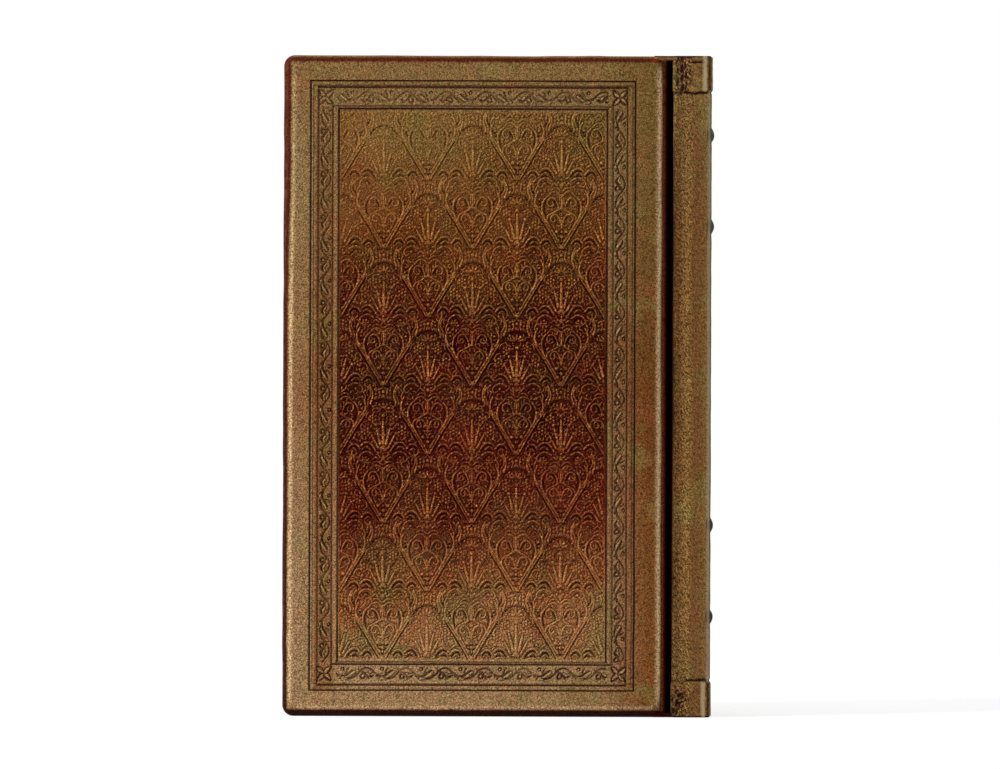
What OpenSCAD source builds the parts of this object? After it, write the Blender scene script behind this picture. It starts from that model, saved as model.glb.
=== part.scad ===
// Leather-bound book, standing closed on its tail.
// +Z runs up to the head, +X to the spine, and the tooled cover faces -Y.
// X and Y are centred on the closed book, and Z is 0 at the tail edges.

/* [Covers] */
// Height of the covers, tail to head
cover_h = 175; // [120:1:260]
// Width of a cover, fore-edge to hinge groove
cover_w = 100.4; // [80:0.1:180]
// Thickness of the closed book over both covers
book_t = 30; // [20:0.5:60]
// Thickness of the board inside a cover
board_t = 2.5; // [1.5:0.1:4]
// Thickness of the leather on the outside
leather_t = 1; // [0.8:0.1:1.5]
// Thickness of the pared leather turned in over the inside of the board
turnin_t = 0.5; // [0.3:0.1:0.8]
// Width of the turn-ins inside the covers
turnin_w = 12; // [8:0.5:16]
// Thickness of the paper pasted down inside each cover
pastedown_t = 0.4; // [0.2:0.1:0.8]
// Radius of the cover corners
corner_r = 3; // [2.5:0.1:6]
// Rounding of the outer cover edges
edge_r = 1.9; // [0.6:0.1:2.2]
// Rounding of the inner cover edges
inner_edge_r = 0.5; // [0.2:0.1:0.8]
// Clearance between a closed cover and the pages
cover_gap = 0.3; // [0.2:0.05:0.6]

/* [Spine] */
// Width of the open groove at each hinge
groove_w = 2.7; // [2:0.1:5]
// Depth of the groove below the strip beside it
groove_depth = 2.75; // [2:0.05:3]
// Width of the strip from the groove to the back of the spine
strip_w = 10.3; // [8:0.1:20]
// Thickness of the board that stiffens the spine
spine_board_t = 1.5; // [1:0.1:3]
// Thickness of the cloth and paper lining glued to the back of the pages
lining_t = 0.5; // [0.3:0.1:1]
// Rounding of the spine's long edges
spine_r = 1.3; // [0.5:0.1:2]
// Rounding of the strip's edge beside the groove
strip_r = 1; // [0.5:0.1:1.5]
// Height of the spine leather's doubled ends
spine_turnin_h = 9.4; // [5:0.1:16]
// How far the doubled ends stand out
spine_turnin_step = 0.25; // [0.1:0.05:0.5]
// Clearance between the groove leather and the edge of a cover
hinge_gap = 0.3; // [0.2:0.05:0.6]
// Distance of the hinge line outside the face of a closed cover
hinge_out = 0.15; // [0.15:0.05:0.5]

/* [Raised bands] */
// How far a raised band stands out of the spine
band_h = 0.7; // [0.3:0.05:1.5]
// Width of a raised band along the spine
band_w = 3.7; // [3:0.1:6]
// Width of the cord under the leather of a band
band_cord_w = 2.2; // [1.6:0.1:2.6]
// Height of the lowest band's middle above the tail
band_1_z = 26.6; // [18:0.1:32]
// Height of the second band's middle
band_2_z = 50.9; // [40:0.1:60]
// Distance of the third band's middle below the head
band_3_drop = 45.1; // [38:0.1:50]
// Distance of the top band's middle below the head
band_4_drop = 20.9; // [16:0.1:30]

/* [Pages] */
// How far the covers stand out past the pages at the head, tail and fore-edge
square_w = 3; // [2:0.1:6]
// Thickness of each loose endpaper beside a cover
flyleaf_t = 0.3; // [0.2:0.05:0.6]
// Width of the headbands at the ends of the spine
headband_w = 2.2; // [1.4:0.1:2.4]

/* [Tooling] */
// Plain margin between the cover edge and the outer frame line
margin_w = 7.1; // [5:0.1:12]
// Width of a frame line
line_w = 0.5; // [0.3:0.05:0.8]
// Distance from the outer frame line to the second one
line_step = 1.45; // [1.2:0.05:3]
// Distance between the two lines beside the panel
double_step = 0.65; // [0.6:0.05:1.2]
// Width of the border with the running vine
border_w = 5; // [3.5:0.1:9]
// Depth of the lines and of the sunk ground
relief_h = 0.3; // [0.15:0.05:0.45]
// Width of the pattern's main ridges
ridge_w = 0.6; // [0.4:0.05:0.8]
// Repeats of the pattern across the panel
cells_wide = 3; // [2:1:4]
// Repeats of the pattern up the panel
cells_high = 4; // [2:1:5]
// Waves of the vine along the head and the tail
vine_short = 7; // [4:1:9]
// Waves of the vine along each side
vine_long = 13; // [8:1:16]

/* [Hidden] */
$fn = 32;

// Stations along X, fore-edge to spine
book_w = cover_w + groove_w + strip_w + band_h;
x_fore = -book_w / 2;
x_groove = x_fore + cover_w;
x_strip = x_groove + groove_w;
x_back = x_strip + strip_w;
x_board = x_back - leather_t;
x_lining = x_board - spine_board_t;
x_pages = x_lining - lining_t;
x_hinge = x_groove + groove_w / 2;

// Levels outward from the middle of the book; the covers fill the last of them
face = book_t / 2;
cover_t = leather_t + board_t + turnin_t;
cover_in = face - cover_t;
leaf_out = cover_in - cover_gap;
pages_out = leaf_out - flyleaf_t;
strip_face = face - spine_turnin_step;
floor_face = strip_face - groove_depth;
strip_board_face = strip_face - leather_t;
hinge_line = face + hinge_out;

// Heights
pages_top = cover_h - square_w;
band_z = [band_1_z, band_2_z, cover_h - band_3_drop, cover_h - band_4_drop];

// Tooled frame, measured in from the cover edge
second_line = margin_w + line_step;
border_in = second_line + line_w / 2;
inner_line = border_in + border_w + line_w / 2;
panel_in = inner_line + double_step + line_w / 2;
panel_w = cover_w - 2 * panel_in;
panel_h = cover_h - 2 * panel_in;
cell_w = panel_w / cells_wide;
cell_h = panel_h / cells_high;
eps = 0.05;

leather_col = [0.42, 0.27, 0.14];
tooled_col = [0.36, 0.2, 0.1];
board_col = [0.62, 0.55, 0.42];
paper_col = [0.93, 0.88, 0.76];
thread_col = [0.62, 0.2, 0.16];

// Turns a flat drawing so that its Z points outward through the tooled cover,
// or through the other cover
module outward(back = false) {
    rotate([90, 0, 0])
        mirror([0, 0, back ? 1 : 0])
            children();
}

// Rectangle with round corners, from two bars and four discs
module round_rect(size, r) {
    translate([r, 0]) square([size.x - 2 * r, size.y]);
    translate([0, r]) square([size.x, size.y - 2 * r]);
    for (x = [r, size.x - r], y = [r, size.y - r])
        translate([x, y]) circle(r);
}

// Box between two corners
module block(from, to) {
    translate(from) cube(to - from);
}

// ---- covers

// Half section of a cover edge: rounded at the outer face and at the inner one
function edge_section(r) = concat(
    [[0, 0]],
    [for (a = [0 : 45 : 90]) [r - inner_edge_r + inner_edge_r * sin(a), inner_edge_r - inner_edge_r * cos(a)]],
    [for (a = [0 : 22.5 : 90]) [r - edge_r + edge_r * cos(a), cover_t - edge_r + edge_r * sin(a)]],
    [[0, cover_t]]
);

// Whole outside form of a cover, lying on its inner face
module cover_form() {
    hull()
        for (x = [corner_r, cover_w - corner_r], y = [corner_r, cover_h - corner_r])
            translate([x, y, 0])
                rotate_extrude($fn = 24) polygon(edge_section(corner_r));
}

// Places a cover's own drawing on the book: fore-edge, tail, inner face
module on_cover(back = false) {
    outward(back) translate([x_fore, 0, cover_in]) children();
}

module board_form() {
    inset = leather_t;
    translate([inset, inset, turnin_t])
        linear_extrude(board_t)
            round_rect([cover_w - 2 * inset, cover_h - 2 * inset], corner_r - inset / 2);
}

// Opening between the turn-ins, reaching the leather at the hinge
module inside_opening(depth) {
    translate([turnin_w, turnin_w, turnin_t - depth])
        cube([cover_w - turnin_w - leather_t, cover_h - 2 * turnin_w, depth]);
}

module plain_leather() {
    difference() {
        cover_form();
        board_form();
        translate([0, 0, eps]) inside_opening(turnin_t + 2 * eps);
    }
}

// Rectangle at one distance in from the cover edge
module frame_rect(inset) {
    translate([inset, inset]) square([cover_w - 2 * inset, cover_h - 2 * inset]);
}

// One frame line around the cover
module frame_line(inset) {
    difference() {
        frame_rect(inset - line_w / 2);
        frame_rect(inset + line_w / 2);
    }
}

// Everything that is pressed below the face of the leather
module sunk_ground() {
    frame_line(margin_w);
    frame_line(inner_line);
    difference() {
        frame_rect(second_line - line_w / 2);
        frame_rect(inner_line - line_w / 2 - line_w);
    }
    frame_rect(panel_in - line_w);
}

// ---- tooled pattern

function across(p, i) =
    let (a = p[max(i - 1, 0)], b = p[min(i + 1, len(p) - 1)], d = b - a)
    [-d.y, d.x] / norm(d);

// A ridge along a line of points, of width w, narrowing to the share tip of it
function ridge(p, w, tip = 0.6) =
    let (n = len(p) - 1, half = [for (i = [0 : n]) w / 2 * (1 - (1 - tip) * i / n)])
    concat(
        [for (i = [0 : n]) p[i] + across(p, i) * half[i]],
        [for (i = [n : -1 : 0]) p[i] - across(p, i) * half[i]]
    );

// A point of the pattern, in hundredths of a repeat
function at(u, v) = [u * cell_w, v * cell_h] / 100;

// An arc round a point, from one angle to another
function arc_at(c, r, from, to, steps) =
    [for (i = [0 : steps]) c + r * [cos(from + (to - from) * i / steps), sin(from + (to - from) * i / steps)]];

// A tapering ray from one point to another, w wide at its foot
function ray(from, to, w) =
    let (n = across([from, to], 0))
    [from + n * w / 2, to, from - n * w / 2];

// Half of the ogee repeat, right of its middle; s is -1 for its mirror image
module half_motif(s) {
    scale([s, 1]) {
        // stem from one crossing to the next, bowed as an ogee
        polygon(ridge([for (t = [0.035 : 0.31 : 0.97]) at(50 * t - 2 * sin(180 * t), 50 * t)], ridge_w, 1));
        // heart side and lobe
        polygon(ridge([at(14, 19), at(15.6, 22.5), at(9, 27.7), at(1.6, 24)], ridge_w));
        // volute over the heart
        polygon(ridge(arc_at(at(10.5, 34), ridge_w * 2, -40, 160, 2), ridge_w));
        // acanthus leaf at the foot of the fan
        polygon([at(8, 50.5), at(17, 58.5), at(24, 53.5), at(15, 55.5)]);
        // rays of the fan
        polygon(ray(at(3.4, 56), at(8, 70), ridge_w));
        polygon(ray(at(6.8, 54), at(15, 64), ridge_w));
        // floret at the end of the outer ray
        translate(at(19.6, 67)) circle(ridge_w * 2, $fn = 4);
    }
}

module motif() {
    half_motif(1);
    half_motif(-1);
    // round arch under the next crossing
    polygon(ridge([at(-20, 82), at(-11, 89.4), at(0, 91.4), at(11, 89.4), at(20, 82)], ridge_w, 1));
    // middle ray and the flower that it ends in
    polygon(ray(at(0, 55), at(0, 76), ridge_w * 1.2));
    translate(at(0, 81))
        polygon([for (a = [-30 : 60 : 210]) ridge_w * 2.6 * [cos(a), sin(a)]]);
}

// Ogee repeats over the panel, each column half a repeat above the last
module panel_pattern() {
    intersection() {
        translate([panel_in, panel_in]) square([panel_w, panel_h]);
        for (i = [0 : 2 * cells_wide], j = [-1 : cells_high - 1])
            if (i % 2 == 0 || j >= 0)
                translate([panel_in + i * cell_w / 2, panel_in + (j + (i % 2 == 0 ? 0.5 : 0)) * cell_h])
                    motif();
    }
}

// Running vine along one side of the border, starting at its corner square
module vine(length, waves) {
    step = length / waves;
    amp = border_w * 0.24;
    polygon(ridge([for (i = [0 : 4 * waves]) [i * step / 4, amp * sin(90 * i)]], ridge_w, 1));
    for (i = [0 : 2 * waves - 1])
        translate([(i + 0.5) * step / 2, 0])
            scale([1, i % 2 == 0 ? -1 : 1])
                polygon([[-step * 0.1, border_w * 0.04], [step * 0.12, border_w * 0.34], [-step * 0.06, border_w * 0.38]]);
}

// Four-petalled leaf in a corner of the border
module corner_leaf() {
    for (a = [45 : 90 : 315])
        rotate(a)
            polygon([[border_w * 0.06, 0], [border_w * 0.3, border_w * 0.13],
                [border_w * 0.5, 0], [border_w * 0.3, -border_w * 0.13]]);
}

module border_pattern() {
    middle = border_in + border_w / 2;
    short = cover_w - 2 * middle - border_w;
    long = cover_h - 2 * middle - border_w;
    translate([cover_w / 2, cover_h / 2])
        for (k = [0 : 1])
            rotate(180 * k) {
                translate([-short / 2, middle - cover_h / 2]) vine(short, vine_short);
                translate([middle - cover_w / 2, long / 2]) rotate(-90) vine(long, vine_long);
                for (s = [-1, 1])
                    translate([s * (cover_w / 2 - middle), middle - cover_h / 2]) corner_leaf();
            }
}

module front_leather() {
    color(tooled_col)
        on_cover() {
            difference() {
                plain_leather();
                translate([0, 0, cover_t - relief_h]) linear_extrude(relief_h + eps) sunk_ground();
            }
            translate([0, 0, cover_t - relief_h - eps])
                linear_extrude(relief_h + eps) {
                    panel_pattern();
                    border_pattern();
                }
        }
}

module back_leather() {
    color(leather_col) on_cover(back = true) plain_leather();
}

module front_board() {
    color(board_col) on_cover() board_form();
}

module back_board() {
    color(board_col) on_cover(back = true) board_form();
}

module front_pastedown() {
    color(paper_col) on_cover() inside_opening(pastedown_t);
}

module back_pastedown() {
    color(paper_col) on_cover(back = true) inside_opening(pastedown_t);
}

// ---- pages

module page_block() {
    color(paper_col)
        block([x_fore + square_w, -pages_out, square_w], [x_pages, pages_out, pages_top]);
}

module flyleaf_form() {
    translate([x_fore + square_w, square_w, pages_out])
        cube([x_pages - x_fore - square_w, pages_top - square_w, flyleaf_t]);
}

module front_flyleaf() {
    color(paper_col) outward() flyleaf_form();
}

module back_flyleaf() {
    color(paper_col) outward(back = true) flyleaf_form();
}

// Sewn band along the back edge of the pages, lying on their end
module headband_form() {
    r = headband_w / 2;
    translate([x_pages - r, pages_out, r])
        rotate([90, 0, 0]) cylinder(r = r, h = 2 * pages_out);
    translate([x_pages - headband_w, -pages_out, 0]) cube([headband_w, 2 * pages_out, r]);
}

module head_band() {
    color(thread_col) translate([0, 0, pages_top]) headband_form();
}

module tail_band() {
    color(thread_col) translate([0, 0, square_w]) mirror([0, 0, 1]) headband_form();
}

// ---- spine

module spine_lining() {
    color(board_col)
        block([x_pages, -leaf_out, square_w], [x_lining, leaf_out, pages_top]);
}

module spine_board() {
    color(board_col)
        block([x_lining, -strip_board_face, leather_t], [x_board, strip_board_face, cover_h - leather_t]);
}

module joint_strip_form() {
    translate([x_strip + leather_t, leather_t, leaf_out])
        cube([x_lining - x_strip - leather_t, cover_h - 2 * leather_t, strip_board_face - leaf_out]);
}

module front_joint_strip() {
    color(board_col) outward() joint_strip_form();
}

module back_joint_strip() {
    color(board_col) outward(back = true) joint_strip_form();
}

// Cord of one raised band, glued across the spine board
module band_form(z) {
    r = band_cord_w / 2;
    sink = r - band_h;
    half = strip_board_face - spine_r;
    intersection() {
        translate([x_board - max(sink, 0), half, z])
            rotate([90, 0, 0]) cylinder(r = r, h = 2 * half);
        block([x_board, -half, z - band_w], [x_board + band_h, half, z + band_w]);
    }
}

module raised_band_1() { color(board_col) band_form(band_z[0]); }
module raised_band_2() { color(board_col) band_form(band_z[1]); }
module raised_band_3() { color(board_col) band_form(band_z[2]); }
module raised_band_4() { color(board_col) band_form(band_z[3]); }

// Plan of the spine leather's outside, from groove to groove, out past its plain face
module spine_plan(out) {
    w = strip_w + out;
    h = 2 * (strip_face + out);
    translate([x_strip, -h / 2]) {
        translate([strip_r, 0]) square([w - strip_r - spine_r, h]);
        translate([0, strip_r]) square([strip_r, h - 2 * strip_r]);
        translate([w - spine_r, spine_r]) square([spine_r, h - 2 * spine_r]);
        for (y = [strip_r, h - strip_r])
            translate([strip_r, y]) circle(strip_r);
        for (y = [spine_r, h - spine_r])
            translate([w - spine_r, y]) circle(spine_r);
    }
}

// Bulge of the leather over one band
module band_bulge(z) {
    half = strip_face - spine_r;
    hump = [for (i = [-4 : 4]) [band_h * (1 + cos(45 * i)) / 2, i * band_w / 8]];
    translate([x_back - eps, half, z])
        rotate([90, 0, 0])
            linear_extrude(2 * half)
                polygon(concat([[-eps, -band_w / 2]], [for (p = hump) p + [eps, 0]], [[-eps, band_w / 2]]));
}

module spine_leather() {
    color(leather_col) {
        difference() {
            union() {
                linear_extrude(cover_h) spine_plan(0);
                linear_extrude(spine_turnin_h) spine_plan(spine_turnin_step);
                translate([0, 0, cover_h - spine_turnin_h])
                    linear_extrude(spine_turnin_h) spine_plan(spine_turnin_step);
                for (z = band_z) band_bulge(z);
            }
            // room for the boards inside, closed by the turned-over ends
            block([x_strip + leather_t, -strip_board_face, leather_t],
                [x_board, strip_board_face, cover_h - leather_t]);
            // room for the pages, open at head and tail
            block([x_strip - eps, -leaf_out, -eps], [x_pages, leaf_out, cover_h + eps]);
            block([x_pages - eps, -leaf_out, square_w], [x_lining + eps, leaf_out, pages_top]);
            for (z = band_z) band_form(z);
        }
        // floor of each groove, lying on the pages and the first leaf
        for (back = [false, true])
            outward(back)
                translate([x_groove + hinge_gap, 0, leaf_out])
                    cube([groove_w - hinge_gap + leather_t, cover_h, floor_face - leaf_out]);
    }
}

page_block();
front_flyleaf();
back_flyleaf();
head_band();
tail_band();
spine_lining();
spine_board();
front_joint_strip();
back_joint_strip();
raised_band_1();
raised_band_2();
raised_band_3();
raised_band_4();
spine_leather();
front_board();
front_leather();
front_pastedown();
back_board();
back_leather();
back_pastedown();
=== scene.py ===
import math

import bpy
import numpy as np
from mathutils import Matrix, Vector


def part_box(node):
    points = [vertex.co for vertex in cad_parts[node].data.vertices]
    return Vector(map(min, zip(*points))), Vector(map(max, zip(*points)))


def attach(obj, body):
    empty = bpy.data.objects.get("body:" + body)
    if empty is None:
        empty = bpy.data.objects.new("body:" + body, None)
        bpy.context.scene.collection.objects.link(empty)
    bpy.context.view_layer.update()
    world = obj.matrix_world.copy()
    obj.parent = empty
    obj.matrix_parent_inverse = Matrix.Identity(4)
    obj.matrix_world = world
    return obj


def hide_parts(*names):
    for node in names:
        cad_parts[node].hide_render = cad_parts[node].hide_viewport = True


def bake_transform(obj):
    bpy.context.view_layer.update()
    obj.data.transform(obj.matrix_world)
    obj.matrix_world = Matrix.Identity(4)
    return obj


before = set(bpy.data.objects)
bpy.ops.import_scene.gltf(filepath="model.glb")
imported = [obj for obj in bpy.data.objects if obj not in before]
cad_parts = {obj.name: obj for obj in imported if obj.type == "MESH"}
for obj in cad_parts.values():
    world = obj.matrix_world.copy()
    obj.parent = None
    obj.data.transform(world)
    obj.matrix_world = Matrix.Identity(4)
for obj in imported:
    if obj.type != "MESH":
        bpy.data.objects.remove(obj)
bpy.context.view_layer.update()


def corners(node):
    """A CAD node's box in millimetres."""
    lo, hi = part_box(node)
    return [v * 1000 for v in lo], [v * 1000 for v in hi]


# ------------------------------------------------------------------ sizes, mm
lo, hi = corners("front_leather")
X0, X1, ZT = lo[0], hi[0], hi[2]            # fore-edge, groove side, head
FACE, INNER = -lo[1], -hi[1]                # outer and inner face of a cover
lo, hi = corners("spine_leather")
XB = corners("spine_board")[1][0] + 1.0     # plain back of the spine
XBAND = hi[0]                               # crown of the raised bands
XS = corners("front_joint_strip")[0][0] - 1.0   # groove side of the strip
STRIP = corners("spine_board")[1][1] + 1.0      # face of the strip
LEAF = corners("spine_lining")[1][1]            # face of the flyleaves
XP = corners("spine_lining")[0][0]              # back of the pages
W, H = X1 - X0, ZT
MARGIN, LINE, STEP, BORDER, DOUBLE = 7.1, 0.5, 1.45, 5.0, 0.65
SECOND = MARGIN + STEP
BORDER_IN = SECOND + LINE / 2
INLINE = BORDER_IN + BORDER + LINE / 2
PANEL = INLINE + DOUBLE + LINE / 2
CW, CH = (W - 2 * PANEL) / 3, (H - 2 * PANEL) / 4
BANDS = [sum(c[2] for c in corners(f"raised_band_{i}")) / 2 for i in (1, 2, 3, 4)]


# ------------------------------------------------------------------ noise
def value_noise(x, y, scale, seed):
    """Smooth noise from -1 to 1 on arrays of points, one lump every scale mm."""
    r = np.random.default_rng(seed).uniform(-1, 1, (64, 64))
    u, v = np.asarray(x) / scale, np.asarray(y) / scale
    i, j = np.floor(u).astype(int), np.floor(v).astype(int)
    f, g = u - i, v - j
    f, g = f * f * (3 - 2 * f), g * g * (3 - 2 * g)
    a = r[i % 64, j % 64] * (1 - f) + r[(i + 1) % 64, j % 64] * f
    b = r[i % 64, (j + 1) % 64] * (1 - f) + r[(i + 1) % 64, (j + 1) % 64] * f
    return a * (1 - g) + b * g


def smooth(a, b, v):
    t = np.clip((v - a) / (b - a), 0, 1)
    return t * t * (3 - 2 * t)


def bell(v, wide):
    """1 where v is 0, and down to 0.37 at wide from there."""
    return np.exp(-(v / wide) ** 2)


# ------------------------------------------------------------------ ornament
def curve(points, width, end=None, spacing=0.13):
    """A tooled stroke as samples (x, z, half width) along a smooth line through points."""
    p = np.array(points, float)
    if len(p) > 2:
        q = np.vstack([2 * p[0] - p[1], p, 2 * p[-1] - p[-2]])
        out = []
        for k in range(1, len(q) - 2):
            n = max(2, int(np.linalg.norm(q[k + 1] - q[k]) / spacing) + 1)
            t = np.linspace(0, 1, n, endpoint=False)[:, None]
            out.append(0.5 * (2 * q[k] + (q[k + 1] - q[k - 1]) * t
                              + (2 * q[k - 1] - 5 * q[k] + 4 * q[k + 1] - q[k + 2]) * t ** 2
                              + (3 * q[k] - q[k - 1] - 3 * q[k + 1] + q[k + 2]) * t ** 3))
        p = np.vstack(out + [p[-1:]])
    elif len(p) == 2:
        n = max(2, int(np.linalg.norm(p[1] - p[0]) / spacing) + 1)
        t = np.linspace(0, 1, n)[:, None]
        p = p[0] * (1 - t) + p[1] * t
    end = width * 0.55 if end is None else end
    r = np.linspace(width, end, len(p))[:, None] / 2 * 0.8
    return np.hstack([p, r])


def dot(x, z, r):
    return np.array([[x, z, r]])


def rosette(x, z, r, petals, size, turn=90):
    a = np.radians(turn + np.arange(petals) * 360 / petals)
    ring = np.stack([x + r * np.cos(a), z + r * np.sin(a), np.full(petals, size)], 1)
    return np.vstack([ring, dot(x, z, size * 1.1)])


def ogee():
    """One repeat of the lattice, right of its middle, and its boldest strokes; z is 0 at the lower crossing."""
    t = np.linspace(0.02, 0.63, 18)
    stem = np.stack([CW / 2 * t - 0.02 * CW * np.sin(math.pi * t), CH / 2 * t], 1)
    s, lead = [], []
    add = lambda *a, **k: s.append(curve(*a, **k))
    side = np.array([CH, -CW]) / math.hypot(CW, CH)
    for off in (-0.34, 0.34):
        add(stem + off * side, 0.28, 0.28)
    # heart with its spirals and trefoil, under a pointed arch
    add([(0, 11.0), (1.2, 10.2), (2.4, 9.5), (3.5, 8.9), (3.9, 7.8), (3.55, 6.6), (2.95, 5.5)], 0.4, 0.36)
    add([(0.3, 6.9), (0.6, 8.1), (1.4, 9.05), (2.4, 9.0), (2.95, 8.1), (2.6, 7.2), (1.95, 7.2), (1.7, 7.8)],
            0.42, 0.3)
    add([(0, 5.7), (0, 7.7)], 0.5, 0.3)
    add([(0.1, 6.3), (0.7, 6.05), (1.25, 6.35)], 0.38)
    s += [dot(0, 8.2, 0.22), dot(1.3, 4.6, 0.38), dot(0, 4.5, 0.26), dot(0, 3.3, 0.38), dot(0.75, 2.4, 0.26)]
    add([(1.9, 5.5), (2.45, 6.6)], 0.34)
    # leaves that rise from the stem beside the heart
    add([(4.1, 7.3), (5.0, 9.4), (5.25, 11.1), (4.9, 12.6), (4.1, 13.7)], 0.5, 0.34)
    add([(6.3, 10.4), (6.95, 12.1), (6.95, 13.6), (6.3, 15.3)], 0.45, 0.34)
    add([(8.4, 13.4), (8.95, 15.2), (8.85, 16.7), (8.2, 18.3)], 0.45, 0.34)
    lead += s[-3:]
    s += [dot(5.85, 13.1, 0.26), dot(5.75, 12.1, 0.24), dot(5.75, 11.1, 0.2), dot(7.8, 15.5, 0.26),
            dot(7.75, 14.4, 0.22)]
    # volutes and the vase between them
    add([(0.9, 10.7), (1.35, 12.5), (2.4, 13.55), (3.6, 13.0), (3.75, 11.9), (3.0, 11.25), (2.25, 11.7),
            (2.5, 12.4)], 0.42, 0.3)
    add([(0, 10.7), (0, 14.3)], 0.5, 0.5)
    add([(0.55, 11.9), (0.5, 13.7)], 0.3)
    add([(0.3, 14.2), (1.3, 15.1), (2.7, 15.0), (3.7, 13.9)], 0.42)
    add([(0.2, 15.3), (1.1, 16.0), (2.1, 16.1), (2.9, 15.5)], 0.34)
    # row of scrolls at the widest part
    s += [dot(0, 17.0, 0.42), dot(0.85, 17.5, 0.26), dot(4.5, 17.3, 0.26), dot(0.0, 18.3, 0.26)]
    add([(1.2, 16.8), (2.0, 17.4), (2.7, 16.8)], 0.4)
    add([(2.6, 18.0), (4.1, 18.8), (5.6, 18.3), (6.35, 17.2), (5.8, 16.3), (5.0, 16.7)], 0.42, 0.3)
    add([(6.9, 18.4), (7.7, 17.3), (7.5, 16.2)], 0.4)
    add([(1.2, 18.5), (2.0, 18.9)], 0.36)
    # acanthus at the foot of the fan
    add([(2.0, 19.1), (2.9, 20.5), (3.9, 21.2), (5.1, 21.1), (5.9, 20.3)], 0.55, 0.34)
    add([(3.4, 19.5), (4.5, 20.2), (5.5, 19.5)], 0.42)
    add([(6.1, 19.6), (7.1, 20.7), (8.4, 20.6), (9.2, 19.7)], 0.48)
    add([(6.9, 19.1), (7.9, 19.7), (8.6, 19.0)], 0.36)
    add([(6.7, 21.6), (7.6, 22.2), (8.2, 21.9)], 0.34)
    # fan of rays with its buds and florets
    s += [dot(0, 19.9, 0.55), dot(0.6, 19.4, 0.3)]
    add([(0, 20.9), (0, 27.3)], 0.9, 0.5)
    add([(0.75, 20.8), (1.8, 25.1)], 0.75, 0.4)
    add([(1.4, 20.0), (3.0, 23.1)], 0.55, 0.36)
    lead += s[-3:]
    s += [dot(0, 28.3, 0.42), dot(2.05, 25.9, 0.36), dot(3.4, 23.7, 0.32)]
    s += [rosette(2.75, 27.6, 0.85, 6, 0.27), rosette(4.9, 24.4, 0.9, 6, 0.27), dot(5.5, 22.3, 0.286)]
    for a in (90, 52, 14):
        c, d = math.cos(math.radians(a)), math.sin(math.radians(a))
        add([(0.55 * c, 29.9 + 0.55 * d), (1.65 * c, 29.9 + 1.65 * d)], 0.36, 0.62)
    # inner side of the upper stems, dome and crown
    add([(7.7, 22.5), (7.2, 23.7), (6.3, 24.1)], 0.36)
    add([(6.0, 25.2), (5.5, 26.4), (4.5, 26.8)], 0.36)
    add([(4.6, 27.9), (4.3, 28.9), (3.5, 29.4)], 0.36)
    s += [dot(3.1, 30.9, 0.26), dot(1.9, 31.6, 0.24), dot(2.9, 29.6, 0.2)]
    s += [dot(0, 34.6, 0.36), dot(1.0, 34.4, 0.3), dot(1.9, 34.0, 0.26)]
    add([(0.4, 35.5), (1.2, 35.2), (1.7, 35.1)], 0.3)
    add([(3.9, 35.9), (3.3, 34.9), (3.3, 33.7), (3.9, 32.7)], 0.45, 0.34)
    add([(5.2, 34.6), (4.7, 33.4), (5.0, 32.2)], 0.36)
    # outer side of the upper stems
    add([(10.6, 17.3), (10.9, 15.9), (10.5, 14.6)], 0.34)
    s += [dot(9.9, 16.8, 0.24), dot(0, 0.55, 0.42)]
    return s, lead


def stems():
    """The lattice's stems, broad and low, through one repeat."""
    t = np.linspace(0, 0.64, 18)
    p = np.stack([CW / 2 * t - 0.02 * CW * np.sin(math.pi * t), CH / 2 * t], 1)
    s = []
    for flip in (1, -1):
        for c in (curve(p * [flip, 1], 1.15, 1.05),
                  curve(np.array([(4.95, 29.4), (4.3, 31.2), (2.7, 32.7), (0, 33.4)]) * [flip, 1], 0.9, 0.9)):
            s += [c, c + [CW / 2, CH / 2, 0]]
    return s


def bold_cuts():
    """Short deep strokes in the ground of one repeat, right of its middle."""
    s = []
    add = lambda *a, **k: s.append(curve(*a, **k))
    add([(2.5, 19.2), (3.2, 20.1), (4.1, 20.6), (5.1, 20.3)], 0.62, 0.4)
    add([(4.0, 19.0), (4.6, 19.4), (5.2, 19.0)], 0.5, 0.3)
    add([(6.6, 19.3), (7.3, 20.1), (8.2, 20.1), (8.8, 19.4)], 0.55, 0.35)
    add([(5.5, 11.7), (5.95, 12.7)], 0.6, 0.4)
    add([(7.5, 14.7), (8.0, 15.7)], 0.55, 0.35)
    add([(0.3, 3.95), (0.9, 3.75), (1.3, 4.05)], 0.45, 0.3)
    add([(0.25, 2.6), (0.7, 3.0)], 0.4, 0.3)
    add([(0.0, 1.35), (0.8, 1.6)], 0.45, 0.3)
    add([(1.1, 11.2), (2.0, 12.9)], 0.4, 0.25)
    add([(4.35, 9.3), (4.6, 11.2), (4.25, 12.6)], 0.42, 0.25)
    add([(2.9, 31.0), (1.6, 32.1)], 0.4, 0.25)
    add([(3.3, 17.0), (4.2, 17.9), (5.2, 17.6)], 0.45, 0.3)
    add([(3.6, 30.2), (2.3, 31.7), (0, 32.5)], 0.42, 0.42)
    t = np.linspace(0.06, 0.58, 16)
    add(np.stack([CW / 2 * t - 0.02 * CW * np.sin(math.pi * t) + 0.62, CH / 2 * t - 0.40], 1), 0.16, 0.16)
    return [c * [1, 1, 1.2] for c in s]


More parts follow.
